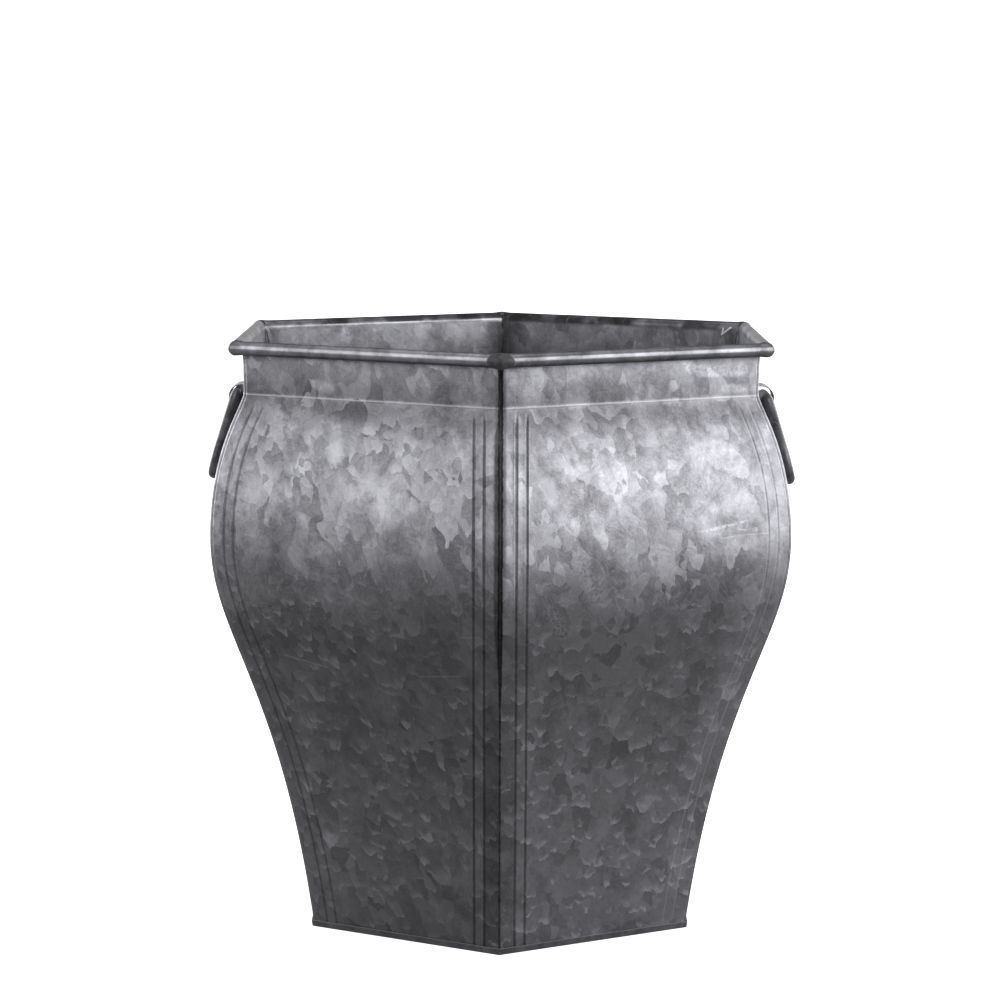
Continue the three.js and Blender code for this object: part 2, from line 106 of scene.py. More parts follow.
def roll_inward(angle):
    """How far a spot round the roll faces the mouth, with 0 pointing straight out."""
    return smooth_step(0.95, 1.5, angle)


def roll_under(angle):
    """How far a spot round the roll faces down."""
    return 1 - smooth_step(-1.3, 0.2, angle)


def wall_rows(body=112, neck=8, into_roll=9, roll=29):
    """Heights, distances from the axis and outward directions of the rows up a wall."""
    beside_crease = np.array([0.3, 0.6, 0.9, 1.2, 1.6, 2.2, 3])
    z = np.concatenate([
        np.linspace(foot_height, crease_height - 4, body),
        crease_height + np.concatenate([-beside_crease[::-1], [0], beside_crease]),
        np.linspace(crease_height + 4.5, neck_top_height, neck),
        np.linspace(neck_top_height + 1, roll_height, into_roll),
    ])
    x = corner_radius(z) * side_cos
    dx, dz = np.gradient(x), np.gradient(z)
    run = np.hypot(dx, dz)
    bead = crease_bead_height * np.exp(-((z - crease_height) / crease_bead_width) ** 2)
    angle = np.linspace(math.pi, roll_end_angle, roll + 1)[1:]
    inner = roll_radius - wall_sheet
    upright_and_rolled = {
        "z": (z, roll_height + inner * np.sin(angle)),
        "x": (x, roll_distance + inner * np.cos(angle)),
        "nx": (dz / run, -np.cos(angle)),
        "nz": (-dx / run, -np.sin(angle)),
        "bead": (bead, 0 * angle),
        "turn": (1 - smooth_step(neck_top_height - 2, roll_height, z), 0 * angle),
        "rolled": (smooth_step(roll_height - 3, roll_height, z), 0 * angle + 1),
        "inward": (0 * z, roll_inward(angle)),
        "under": (0 * z, roll_under(angle)),
        # painted shade: darker just under the roll and on the roll's underside
        "under_roll_shade": (smooth_step(roll_height - 9, roll_height - 1, z), 1 - smooth_step(-1.15, -0.3, angle)),
    }
    return {key: np.concatenate(both) for key, both in upright_and_rolled.items()}


# Columns across half a wall, each at a distance from the mitre plane: the turned edge, then the
# two grooves, then the plain middle, which stretches with the wall's width.
edge_width, edge_depth, edge_power = 4.5, 2.6, 1.75
groove_offsets = [11.4, 19.0]
mitre_gap = 0.01
groove_depth, groove_half_width, groove_reach = 0.55, 0.95, 2.2
lip_height, lip_offset, lip_half_width = 0.12, 1.5, 0.5
groove_top = crease_height - 3
groove_fade = 8.0
middle_start = 21.6


def edge_curve(steps=9):
    """The turned edge in plan: across and depth of its outer skin, and of its inner skin."""
    angle = np.linspace(0, math.pi / 2, steps)
    power = 2 / edge_power
    across = edge_width - (edge_width - mitre_gap) * np.cos(angle) ** power
    depth = edge_depth * (1 - np.sin(angle) ** power)
    da, dd = np.gradient(across), np.gradient(depth)
    run = np.hypot(da, dd)
    return across, depth, across - wall_sheet * dd / run, depth + wall_sheet * da / run


def wall_columns():
    """Places across a wall from one edge to the other, and how deep each is pressed."""
    across, depth, inner_across, inner_depth = edge_curve()
    spread = np.linspace(-groove_reach, groove_reach, 17)
    grooves = np.concatenate([[6.2, 7.8]] + [offset + spread for offset in groove_offsets])
    shares = np.linspace(0, 1, 15)
    middle = middle_start + 0 * shares
    press = 0
    for offset in groove_offsets:
        away = grooves - offset
        press = press + groove_depth * np.exp(-(away / groove_half_width) ** 2)
        press = press - lip_height * np.exp(-((np.abs(away) - lip_offset) / lip_half_width) ** 2)
    half = {
        "outer": (across, grooves, middle),
        "inner": (inner_across, grooves, middle),
        "outer_depth": (depth, 0 * grooves, 0 * middle),
        "inner_depth": (inner_depth, 0 * grooves + wall_sheet, 0 * middle + wall_sheet),
        "share": (0 * across, 0 * grooves, shares),
        "press": (0 * across, press, 0 * middle),
    }
    half = {key: np.concatenate(parts) for key, parts in half.items()}
    whole = {key: np.concatenate([value, value[-2::-1]]) for key, value in half.items()}
    count = len(half["share"])
    whole["side"] = np.concatenate([-np.ones(count - 1), [0], np.ones(count - 1)])
    return whole


def waviness(across_from_middle, height, seed):
    """Soft unevenness left by pressing and handling, as waves that lie in all directions."""
    chance = np.random.default_rng(seed)
    shortest, longest = 28, 95
    total = 0
    for _ in range(9):
        length = chance.uniform(shortest, longest)
        lean = chance.uniform(0, math.pi)
        phase = chance.uniform(0, 2 * math.pi)
        way = across_from_middle * math.cos(lean) + height * math.sin(lean)
        total = total + length / longest * np.sin(2 * math.pi * way / length + phase)
    return total / 3


def wall_faces(rows, columns):
    """Faces round two skins of points, the outer one first, and round their four edges."""
    r, c = np.meshgrid(np.arange(rows - 1), np.arange(columns - 1), indexing="ij")
    r, c = r.ravel(), c.ravel()
    at = lambda face, row, column: (face * rows + row) * columns + column
    quads = [
        np.stack([at(0, r, c), at(0, r, c + 1), at(0, r + 1, c + 1), at(0, r + 1, c)], 1),
        np.stack([at(1, r, c), at(1, r + 1, c), at(1, r + 1, c + 1), at(1, r, c + 1)], 1),
    ]
    r, c, last, top = np.arange(rows - 1), np.arange(columns - 1), columns - 1, rows - 1
    quads.append(np.stack([at(0, r, 0), at(0, r + 1, 0), at(1, r + 1, 0), at(1, r, 0)], 1))
    quads.append(np.stack([at(0, r + 1, last), at(0, r, last), at(1, r, last), at(1, r + 1, last)], 1))
    quads.append(np.stack([at(0, 0, c + 1), at(0, 0, c), at(1, 0, c), at(1, 0, c + 1)], 1))
    quads.append(np.stack([at(0, top, c), at(0, top, c + 1), at(1, top, c + 1), at(1, top, c)], 1))
    return np.concatenate(quads)


def piece(name, points, faces, turn=0.0, sharp_angle=35):
    """A new object from points in millimetres, turned about the upright axis."""
    x, y, z = (np.asarray(points, float) * mm).T
    c, s = math.cos(turn), math.sin(turn)
    points = np.stack([c * x - s * y, s * x + c * y, z], 1)
    mesh = bpy.data.meshes.new(name)
    mesh.from_pydata(points.tolist(), [], [list(map(int, face)) for face in faces])
    mesh.validate()
    mesh.shade_smooth()
    mesh.set_sharp_from_angle(angle=math.radians(sharp_angle))
    made = bpy.data.objects.new(name, mesh)
    bpy.context.scene.collection.objects.link(made)
    return made


def mark(made, name, values):
    """A named value at every point of a piece, which its material reads."""
    held = made.data.attributes.new(name, "FLOAT", "POINT").data
    held.foreach_set("value", np.asarray(values, np.float32).ravel())


notch_full_height, notch_narrow_height, notch_narrow_share = 225, 140, 0.55


def notch_share(height):
    """How open the corner notch is: fully at the belly, and closing towards the foot."""
    opened = smooth_step(notch_narrow_height, notch_full_height, height)
    return notch_narrow_share + (1 - notch_narrow_share) * opened


rows, columns = wall_rows(), wall_columns()
wave_height, wave_inset, wave_share_at_crease = 0.34, 24, 0.35
mitre_crown, mitre_crown_width = 0.35, 3.5
roll_dent, side_roll_dent = 0.07, 0.02
strap_rest_low, strap_rest_high = 300, 330


def wall_points(face, seed, near_strap, press_shares):
    """Points of one skin of a wall, and how far each lies from the wall's upright edge."""
    row = {key: value[:, None] for key, value in rows.items()}
    column = {key: value[None, :] for key, value in columns.items()}
    near_edge = column["outer"] < edge_width + 0.01
    narrow = np.where(near_edge, notch_share(row["z"]), 1)
    edge_across = {key: mitre_gap + (column[key] - mitre_gap) * narrow for key in ("outer", "inner")}
    fade = smooth_step(0, groove_fade, groove_top - row["z"])
    press = column["press"] * fade * np.where(column["side"] < 0, *press_shares)
    depth = np.where(near_edge, column["outer_depth"] * narrow, 0)
    if face == "inner":
        depth = depth + (column["inner_depth"] - column["outer_depth"])
    depth_rolled = 0 if face == "outer" else wall_sheet
    depth = depth * row["turn"] + depth_rolled * (1 - row["turn"]) + press - row["bead"]
    x_flat = row["x"] - row["nx"] * depth
    across = edge_across["outer"] + (edge_across[face] - edge_across["outer"]) * row["turn"]
    half_width = x_flat * side_tan
    across = across + column["share"] * (half_width - middle_start)
    y = column["side"] * (half_width - across)
    bow = bow_at(row["z"]) * (1 - (y / half_width) ** 2)
    inset = smooth_step(middle_start, middle_start + wave_inset, half_width - np.abs(y))
    under_crease = smooth_step(5, 30, crease_height - row["z"])
    calm = smooth_step(0, 25, row["z"]) * (wave_share_at_crease + (1 - wave_share_at_crease) * under_crease)
    wave = wave_height * waviness(y, row["z"], seed) * inset * calm * (1 - row["rolled"])
    if near_strap:
        beside_strap = smooth_step(strap_rest_low, strap_rest_high, row["z"])
        wave = wave * (1 - beside_strap * (1 - smooth_step(20, 40, np.abs(y))))
    dent = side_roll_dent if near_strap else roll_dent
    dents = dent * waviness(y * 4, 0 * y + seed, seed + 50) * row["rolled"]
    rounded = mitre_crown * np.exp(-(across / mitre_crown_width) ** 2) * row["rolled"]
    x = x_flat + bow + row["nx"] * (wave - dents + rounded)
    z = row["z"] - row["nz"] * (depth - wave + dents - rounded) + 0 * y
    return np.stack([x, y, z], 2).reshape(-1, 3), half_width - np.abs(y)


# What every zinc surface shares: the bloom of crystals that the hot dip leaves, a node group with the tone
# of each crystal, the way that it faces, and a painted highlight on its lower rim.
def node(tree, kind, inputs=(), **settings):
    """A node with its settings made, and each input linked to a socket or set to a value."""
    made = tree.nodes.new(kind)
    for name, value in settings.items():
        setattr(made, name, value)
    for name, value in dict(inputs).items():
        if isinstance(value, bpy.types.NodeSocket):
            tree.links.new(value, made.inputs[name])
        else:
            made.inputs[name].default_value = value
    return made


def calc(tree, operation, *values, clamp=False):
    return node(tree, "ShaderNodeMath", enumerate(values), operation=operation, use_clamp=clamp).outputs[0]


def times(tree, a, b, plus=None):
    return calc(tree, "MULTIPLY", a, b) if plus is None else calc(tree, "MULTIPLY_ADD", a, b, plus)


def centred(tree, value):
    return calc(tree, "SUBTRACT", value, 0.5)


def calc_xyz(tree, operation, *values):
    """What calc does, for places and directions."""
    made = node(tree, "ShaderNodeVectorMath", enumerate(values), operation=operation)
    return made.outputs["Value" if operation in ("DOT_PRODUCT", "LENGTH") else "Vector"]


def scaled(tree, vector, factor):
    inputs = {0: vector, "Scale": factor}
    return node(tree, "ShaderNodeVectorMath", inputs, operation="SCALE").outputs["Vector"]


def mixed(tree, factor, a, b, kind="RGBA", blend="MIX"):
    first = {"FLOAT": 2, "VECTOR": 4, "RGBA": 6}[kind]
    inputs = {0: factor, first: a, first + 1: b}
    made = node(tree, "ShaderNodeMix", inputs, data_type=kind, blend_type=blend)
    return made.outputs[{"FLOAT": 0, "VECTOR": 1, "RGBA": 2}[kind]]


def remap(tree, value, low, high, to_low=0.0, to_high=1.0, smooth=True):
    inputs = {"Value": value, "From Min": low, "From Max": high, "To Min": to_low, "To Max": to_high}
    kind = "SMOOTHSTEP" if smooth else "LINEAR"
    return node(tree, "ShaderNodeMapRange", inputs, interpolation_type=kind).outputs["Result"]


def noise(tree, vector, scale, detail=2.0, roughness=0.5):
    inputs = {"Vector": vector, "Scale": scale, "Detail": detail, "Roughness": roughness}
    return node(tree, "ShaderNodeTexNoise", inputs).outputs[0]


def tipped(tree, vector, angle):
    """A place turned about the axis that runs from the front to the back."""
    inputs = {"Vector": vector, "Angle": angle}
    return node(tree, "ShaderNodeVectorRotate", inputs, rotation_type="Y_AXIS").outputs[0]


def object_place(tree):
    return node(tree, "ShaderNodeTexCoord").outputs["Object"]


def group(name, inputs, outputs):
    """A new node group, what is given to it and what is wanted from it."""
    tree = bpy.data.node_groups.new(name, "ShaderNodeTree")
    for label, (kind, default) in inputs.items():
        socket = tree.interface.new_socket(label, in_out="INPUT", socket_type="NodeSocket" + kind)
        if default is not None:
            socket.default_value = default
    for label, kind in outputs.items():
        tree.interface.new_socket(label, in_out="OUTPUT", socket_type="NodeSocket" + kind)
    return tree, tree.nodes.new("NodeGroupInput").outputs, tree.nodes.new("NodeGroupOutput").inputs


bloom, given, wanted = group(
    "zinc bloom",
    {"Crystal Size": ("Float", 0.016), "Tilt": ("Float", 0.12), "Feather": ("Float", 0.4),
     "Blur": ("Float", 0.3)},
    {"Tone": "Float", "Rim": "Float", "Facing": "Vector", "Grain": "Float"},
)
place = object_place(bloom)
stretched = calc_xyz(bloom, "MULTIPLY", tipped(bloom, place, 0.45), (1.15, 1.15, 0.8))
spot = scaled(bloom, stretched, calc(bloom, "DIVIDE", 1.0, given["Crystal Size"]))
for scale, detail, amount in ((1.1, 2, 0.7), (4.5, 3, 0.17)):
    random = node(bloom, "ShaderNodeTexNoise", {"Vector": spot, "Scale": scale, "Detail": detail})
    push = calc_xyz(bloom, "SUBTRACT", random.outputs["Color"], (0.5, 0.5, 0.5))
    spot = calc_xyz(bloom, "ADD", spot, scaled(bloom, push, amount))
small_spot = calc_xyz(bloom, "ADD", scaled(bloom, spot, 2.1), (17.3, 5.1, 9.7))
large, small = (
    node(bloom, "ShaderNodeTexVoronoi", {"Vector": at, "Scale": 1.0}).outputs for at in (spot, small_spot))
small_chance = node(bloom, "ShaderNodeSeparateColor", {"Color": small["Color"]}).outputs["Blue"]
is_small = calc(bloom, "GREATER_THAN", small_chance, 0.62)
chance = mixed(bloom, is_small, large["Color"], small["Color"])
from_large = calc_xyz(bloom, "SUBTRACT", spot, large["Position"])
from_small = calc_xyz(bloom, "SUBTRACT", small_spot, small["Position"])
from_middle = mixed(bloom, is_small, from_large, from_small, "VECTOR")
parts = node(bloom, "ShaderNodeSeparateColor", {"Color": chance}).outputs
turned = node(bloom, "ShaderNodeVectorRotate", {
    "Vector": spot, "Axis": (0.2, -1, 0.15), "Angle": times(bloom, parts["Green"], math.pi)}).outputs[0]
feather = noise(bloom, calc_xyz(bloom, "MULTIPLY", turned, (1.1, 1.1, 7.0)), 1.6, 5, 0.7)
scallop = calc_xyz(bloom, "DOT_PRODUCT", from_middle, (-0.3, 0.05, -0.85))
crisp = times(bloom, centred(bloom, parts["Red"]), 0.78, 0.5)
crisp = times(bloom, scallop, 0.4, crisp)
cloud_size = scaled(bloom, place, calc(bloom, "DIVIDE", 0.75, given["Crystal Size"]))
cloudy = remap(bloom, noise(bloom, cloud_size, 1.0, 6, 0.68), 0.32, 0.68)
blur = remap(bloom, noise(bloom, spot, 0.37), 0.42, 0.64, 0.05, 0.75)
blur = mixed(bloom, given["Blur"], blur, 0.95, "FLOAT")
tone = mixed(bloom, blur, crisp, cloudy, "FLOAT")
tone = calc(bloom, "MULTIPLY_ADD", centred(bloom, feather), given["Feather"], tone, clamp=True)
lean = calc_xyz(bloom, "SUBTRACT", chance, (0.5, 0.5, 0.5))
lean = calc_xyz(bloom, "ADD", lean, scaled(bloom, from_middle, 0.6))
lean = scaled(bloom, lean, calc(bloom, "SUBTRACT", 1.0, times(bloom, blur, 0.7)))
surface = node(bloom, "ShaderNodeNewGeometry").outputs["Normal"]
facing = calc_xyz(bloom, "ADD", surface, scaled(bloom, lean, given["Tilt"]))
# painted highlights on the lower rims of the crystals
crescent_highlight = times(bloom, remap(bloom, scallop, 0.2, 0.56), remap(bloom, parts["Blue"], 0.3, 0.7))
crescent_highlight = times(bloom, crescent_highlight, remap(bloom, feather, 0.3, 0.6, 0.25, 1.0))
bloom.links.new(tone, wanted["Tone"])
bloom.links.new(crescent_highlight, wanted["Rim"])
bloom.links.new(calc_xyz(bloom, "NORMALIZE", facing), wanted["Facing"])
bloom.links.new(feather, wanted["Grain"])


# Scuffs and fine scratches from use, as a group for all the metal. The scratches run in three
# directions, each with its own spacing and fineness, and come and go in patches.
wear, given, wanted = group(
    "handling wear",
    {"Scratches": ("Float", 0.3), "Scuffs": ("Float", 0.3)},
    {"Mask": "Float", "Height": "Float"},
)
place = object_place(wear)
scratch_mask = None
for angle, scale, fineness in ((0.25, 55.0, 0.012), (1.45, 38.0, 0.010), (2.3, 70.0, 0.009)):
    laid = calc_xyz(wear, "MULTIPLY", tipped(wear, place, angle), (0.12, 1.0, 1.0))
    line = calc(wear, "ABSOLUTE", centred(wear, noise(wear, laid, scale, 1.0)))
    gate = remap(wear, noise(wear, place, 31.0 + scale / 5, 1.0), 0.56, 0.66)
    line = times(wear, remap(wear, line, fineness, 0.0), gate)
    scratch_mask = line if scratch_mask is None else calc(wear, "MAXIMUM", scratch_mask, line)
scratch_mask = times(wear, scratch_mask, given["Scratches"])
cloud = noise(wear, calc_xyz(wear, "MULTIPLY", place, (1.0, 1.0, 1.6)), 42.0, 6, 0.72)
scuff_mask = times(wear, remap(wear, cloud, 0.58, 0.78), given["Scuffs"])
wear.links.new(calc(wear, "MAXIMUM", scratch_mask, scuff_mask), wanted["Mask"])
wear.links.new(times(wear, scuff_mask, 0.3, times(wear, scratch_mask, -1.0)), wanted["Height"])


# Marks from knocks and rubs, as a group: how close a spot is to the line between two places on
# the metal, broken up by a fine ragged pattern.
knock, given, wanted = group(
    "local mark",
    {"From": ("Vector", None), "To": ("Vector", None), "Width": ("Float", 0.001), "Break": ("Float", 0.5)},
    {"Mask": "Float"},
)
place = object_place(knock)
line = calc_xyz(knock, "SUBTRACT", given["To"], given["From"])
offset = calc_xyz(knock, "SUBTRACT", place, given["From"])
share = calc(knock, "DIVIDE", calc_xyz(knock, "DOT_PRODUCT", offset, line),
             calc(knock, "ADD", calc_xyz(knock, "DOT_PRODUCT", line, line), 1e-9), clamp=True)
away = calc_xyz(knock, "LENGTH", calc_xyz(knock, "SUBTRACT", offset, scaled(knock, line, share)))
patchy = noise(knock, place, 480.0, 4, 0.7)
away = times(knock, centred(knock, patchy), given["Width"], away)
close = remap(knock, calc(knock, "DIVIDE", away, given["Width"]), 1.0, 0.25)
broken = mixed(knock, given["Break"], 1.0, remap(knock, patchy, 0.42, 0.56), "FLOAT")
knock.links.new(times(knock, close, broken), wanted["Mask"])


# The rolled rim is burnished by the rolling: streaky and bright on its outer face. The half that faces the
# mouth is darkened in patches, partly grime and partly painted shade, the underside gets painted shade, and
# the Shade input is painted light or shade for each wall. The sheets and the solder that is wiped thin over
# the corners share it as a group.
def metal(tone, blue):
    """The colour of bare metal: grey, with a little more blue."""
    return tone, tone, blue, 1


def shaded(tree, colour, *shades):
    """A colour darkened or lightened by each shade in turn."""
    for shade in shades:
        colour = mixed(tree, 1.0, colour, shade, blend="MULTIPLY")
    return colour


burnish, given, wanted = group(
    "burnished roll",
    {"Inward": ("Float", 0.0), "Underside Shade": ("Float", 0.0), "Shade": ("Float", 1.0)},
    {"Colour": "Color", "Roughness": "Float"},
)
place = object_place(burnish)
streak = remap(burnish, noise(burnish, place, 55.0, 5, 0.65), 0.3, 0.7)
grime = remap(burnish, noise(burnish, place, 24.0, 3, 0.6), 0.42, 0.6)
grime_and_shade = remap(burnish, grime, 0.0, 1.0, 0.13, 0.45)
burnish.links.new(shaded(
    burnish, mixed(burnish, streak, metal(0.2, 0.216), metal(0.55, 0.593)),
    mixed(burnish, given["Inward"], 1.0, grime_and_shade, "FLOAT"),
    mixed(burnish, given["Underside Shade"], 1.0, 0.25, "FLOAT"), given["Shade"]), wanted["Colour"])
grimy_roughness = remap(burnish, grime, 0.0, 1.0, 0.5, 0.36)
burnish.links.new(mixed(burnish, given["Inward"], 0.29, grimy_roughness, "FLOAT"), wanted["Roughness"])


def finish(name, metallic):
    """A new material, its node tree and the sockets of its shader."""
    made = bpy.data.materials.new(name)
    made.use_nodes = True
    shader = made.node_tree.nodes["Principled BSDF"].inputs
    shader["Metallic"].default_value = metallic
    return made, made.node_tree, shader


def wire_up(tree, shader, colour, roughness, normal):
    for label, value in (("Base Color", colour), ("Roughness", roughness), ("Normal", normal)):
        tree.links.new(value, shader[label])


def bump(tree, height, distance, strength, **more):
    """The normal of a surface with fine relief, whose distance is in millimetres."""
    inputs = {"Height": height, "Distance": distance * mm, "Strength": strength, **more}
    return node(tree, "ShaderNodeBump", inputs).outputs[0]


def use(tree, which, values):
    return node(tree, "ShaderNodeGroup", values, node_tree=which).outputs


def attribute(tree, name):
    return node(tree, "ShaderNodeAttribute", attribute_name=name).outputs["Fac"]


def height_of(tree, place):
    return node(tree, "ShaderNodeSeparateXYZ", {"Vector": place}).outputs["Z"]


def burnished(tree):
    labels = {"Inward": "inward", "Underside Shade": "under", "Shade": "painted_roll_shade"}
    return use(tree, burnish, {label: attribute(tree, name) for label, name in labels.items()})


def panel_spot(name, across, height, depth=0.0):
    """A place on a wall, across from its middle and below its outer face, in the frame's metres."""
    flat = float(corner_radius(height)) * side_cos - depth
    out = flat + float(bow_at(height)) * (1 - (across / (flat * side_tan)) ** 2)
    turn = wall_names.index(name) * side_angle
    c, s = math.cos(turn), math.sin(turn)
    return tuple(np.array((c * out - s * across, s * out + c * across, height)) * mm)


# Rubs, knocks and scratches that stand out: the wall, both ends of the mark as (across, height)
# in millimetres, its width, how broken it is and how strong. Those of back_right are inside.
local_marks = [
    ("front_right", (37, 281), (76, 286), 1.5, 1.0, 0.75),
    ("front_right", (44, 280), (66, 282), 5.0, 0.7, 0.4),
    ("front_right", (68, 281), (74, 280), 0.5, 0.1, 0.7),
    ("front_right", (82, 280), (82, 280), 2.0, 0.1, 0.6),
    ("front_right", (54, 276), (70, 277), 0.5, 0.2, 0.45),
    ("front_right", (70, 277), (92, 277), 0.5, 0.2, 0.45),
    ("front_right", (-74, 317), (-72, 309), 8.0, 0.0, 0.5),
    ("front_right", (84, 150), (97, 245), 30.0, 0.0, 0.12),
    ("front_right", (40, 385), (86, 383), 5.0, 0.7, 0.7),
    ("front_right", (50, 381), (84, 380), 3.0, 0.7, 0.7),
    ("front_right", (70, 371), (95, 370), 4.0, 0.5, 0.4),
    ("front_right", (-50, 262), (-38, 244), 11.0, 1.0, 0.3),
    ("front_right", (-72, 236), (-60, 222), 8.0, 1.0, 0.22),
    ("front_left", (-18, 335), (-16, 330), 8.0, 0.0, 0.8),
    ("front_left", (14, 314), (22, 312), 10.0, 0.2, 0.45),
    ("front_left", (20, 298), (30, 291), 10.0, 0.2, 0.4),
    ("front_left", (41, 190), (71, 193), 0.5, 0.5, 0.25),
    ("front_left", (77, 220), (92, 221), 0.5, 0.4, 0.25),
    ("front_left", (-62, 195), (-30, 190), 1.2, 0.3, 0.2),
    ("front_left", (-40, 374), (-30, 372), 5.0, 0.2, 0.35),
    ("front_left", (99, 100), (99, 106), 1.2, 0.9, 0.6),
    ("front_left", (66, 8), (71, 6), 2.0, 0.8, 0.5),
    ("back_right", (-86, 395), (-85, 391), 0.9, 0.1, 1.0),
    ("back_right", (-85, 391), (-92, 396), 0.9, 0.1, 1.0),
]

zinc, tree, shader = finish("bloomed zinc", 0.88)
rolled, inside, sheet_blur, edge_mm = (
    attribute(tree, label) for label in ("rolled", "inside", "blur", "edge_mm"))
flat = calc(tree, "SUBTRACT", 1.0, rolled)
crystals = use(tree, bloom, {
    "Crystal Size": 0.016, "Tilt": times(tree, flat, 0.15), "Feather": 0.8, "Blur": sheet_blur})
marks = use(tree, wear, {"Scratches": 0.3, "Scuffs": 0.5})
place = object_place(tree)
height = height_of(tree, place)
cloud = noise(tree, place, 11.0, 5, 0.6)
off_cloud = centred(tree, cloud)
fine = noise(tree, place, 800.0, 3, 0.7)
mottle = centred(tree, noise(tree, place, 190.0, 3, 0.65))
ragged = centred(tree, noise(tree, place, 150.0, 4, 0.65))

# The tone of the crystals, bright from the belly up and dull on the taper, partly patina and partly painted
# light, with painted highlights on the crystals' tips on the taper and fine flecks where one passes into
# the other.
contrast = times(tree, sheet_blur, -0.5, 1.05)
tone = times(tree, centred(tree, crystals["Tone"]), contrast, 0.5)
tone = times(tree, centred(tree, fine), 0.7, tone)
tone = times(tree, mottle, 0.4, tone)
lit_belly_tone = mixed(tree, tone, metal(0.22, 0.238), metal(0.58, 0.625))
shaded_taper_tone = mixed(tree, tone, metal(0.14, 0.151), metal(0.275, 0.296))
tip_highlights = times(tree, crystals["Rim"], remap(tree, cloud, 0.4, 0.58, 0.25, 0.6))
shaded_taper_tone = mixed(tree, tip_highlights, shaded_taper_tone, metal(0.55, 0.59))
cloudy_height = times(tree, off_cloud, 0.1, height)
colour = mixed(tree, remap(tree, cloudy_height, 0.212, 0.308), shaded_taper_tone, lit_belly_tone)
below_belly = times(tree, remap(tree, cloudy_height, 0.21, 0.245), remap(tree, cloudy_height, 0.31, 0.275))
flecks = times(tree, remap(tree, crystals["Grain"], 0.5, 0.68), below_belly)
colour = mixed(tree, times(tree, flecks, 0.2), colour, metal(0.62, 0.665))
# painted light: lighter towards the foot
colour = shaded(tree, colour, remap(tree, height, 0.0, 0.22, 1.4, 0.97))
inside_tone = mixed(tree, tone, metal(0.17, 0.184), metal(0.48, 0.517))
# painted shade: the inside darker towards its corners
for near, far, darkest in ((0.3, 1.4, 0.35), (1.0, 22.0, 0.45)):
    inside_tone = shaded(tree, inside_tone, remap(tree, edge_mm, near, far, darkest, 1.0))
# painted light and shade of each wall, carried by the shade mark
colour = shaded(tree, mixed(tree, inside, colour, inside_tone), attribute(tree, "shade"))
roll = burnished(tree)
colour = mixed(tree, rolled, colour, roll["Colour"])

# Painted shade under the roll, round the crease, deep in the notches and in the grooves; soot, stains and
# groove dirt.
from_crease = calc(tree, "ABSOLUTE", calc(tree, "SUBTRACT", height, crease_height * mm))
ragged_edge = times(tree, ragged, 2.4, edge_mm)
past_soot, past_black = (
    calc(tree, "SUBTRACT", ragged_edge, attribute(tree, label)) for label in ("soot_mm", "black_mm"))
groove = attribute(tree, "groove_mm")
colour = shaded(
    tree, colour,
    # painted shade under the roll
    remap(tree, attribute(tree, "under_roll_shade"), 0.0, 1.0, 1.0, 0.15),
    # painted shade in a band above and below the crease
    remap(tree, times(tree, off_cloud, 0.03, from_crease), 0.0, 0.022, 0.62, 1.0),
    remap(tree, past_soot, -1.2, 0.7, 0.42, 1.0),
    # painted shade deep in the corner notch, along with the soot
    remap(tree, past_black, -0.4, 0.3, 0.16, 1.0),
    remap(tree, attribute(tree, "stain"), 0.0, 1.0, 1.0, 0.6, smooth=False),
    # darker in the grooves: dirt and painted shade
    remap(tree, groove, 0.04, 0.4, 1.0, 0.5))
# Lighter: grooves whose darkening is below 0, the crease's painted highlight, and wear marks.
for share, lift in ((remap(tree, groove, -0.04, -0.4, 0.0, 0.8), metal(0.85, 0.91)),
                     # a painted highlight along the crease's bead
                     (times(tree, attribute(tree, "crease_highlight"), 0.7), metal(0.62, 0.665)),
                     (times(tree, marks["Mask"], 0.4), metal(0.6, 0.645))):
    colour = mixed(tree, share, colour, lift)
for name, begin, finish_at, width, breaks, strength in local_marks:
    depth = wall_sheet if name == "back_right" else 0
    mask = use(tree, knock, {
        "From": panel_spot(name, *begin, depth), "To": panel_spot(name, *finish_at, depth),
        "Width": width * mm, "Break": breaks})["Mask"]
    colour = mixed(tree, times(tree, mask, strength), colour, metal(0.72, 0.775))
roughness = remap(tree, tone, 0.0, 1.0, 0.5, 0.4, smooth=False)
roughness = times(tree, off_cloud, 0.16, roughness)
roughness = mixed(tree, rolled, roughness, roll["Roughness"], "FLOAT")
relief = times(tree, marks["Height"], 0.6, times(tree, fine, 0.2))
relief = times(tree, crystals["Grain"], 0.5, relief)
wire_up(tree, shader, colour, roughness,
        bump(tree, relief, 0.4, times(tree, flat, 0.25, 0.1), Normal=crystals["Facing"]))

# How single walls differ. Where two values stand together, the first is for a wall's left edge and the
# second for its right edge, except in painted_wall_light and painted_edge_light, where they're for its
# upper and lower part. Those two are painted light and shade: a wall, or its outer edge, made lighter or
# darker. A groove's darkening, dirt and painted shade, below 0 makes the groove lighter instead, and
# flux_run is how far the soot reaches from the corner, in millimetres.
sheet_blurs = {"front_left": 0.05, "front_right": 0.4, "others": 0.3}
painted_wall_light = {"front_left": (1.02, 0.82), "front_right": (1.08, 1.04),
                "back_left": (1.2, 1.2), "back_right": (0.8, 0.8), "others": (1, 1)}
painted_edge_light = {"front_left": (-0.16, 0.12), "front_right": (0.08, 0.12), "others": (0, 0)}
outer_edges = {"front_left": (1, 0), "front_right": (0, 1), "others": (0, 0)}
press_shares = {"front_left": (0.6, 1.0), "front_right": (1.0, 0.4), "others": (1, 1)}
groove_darkening = {"front_left": (0.6, 1.0), "front_right": (0.8, -0.3), "others": (0.6, 0.6)}
flux_run = {"front_left": (0.2, 4.9), "front_right": (1.9, 0.2), "others": (0.2, 0.2)}
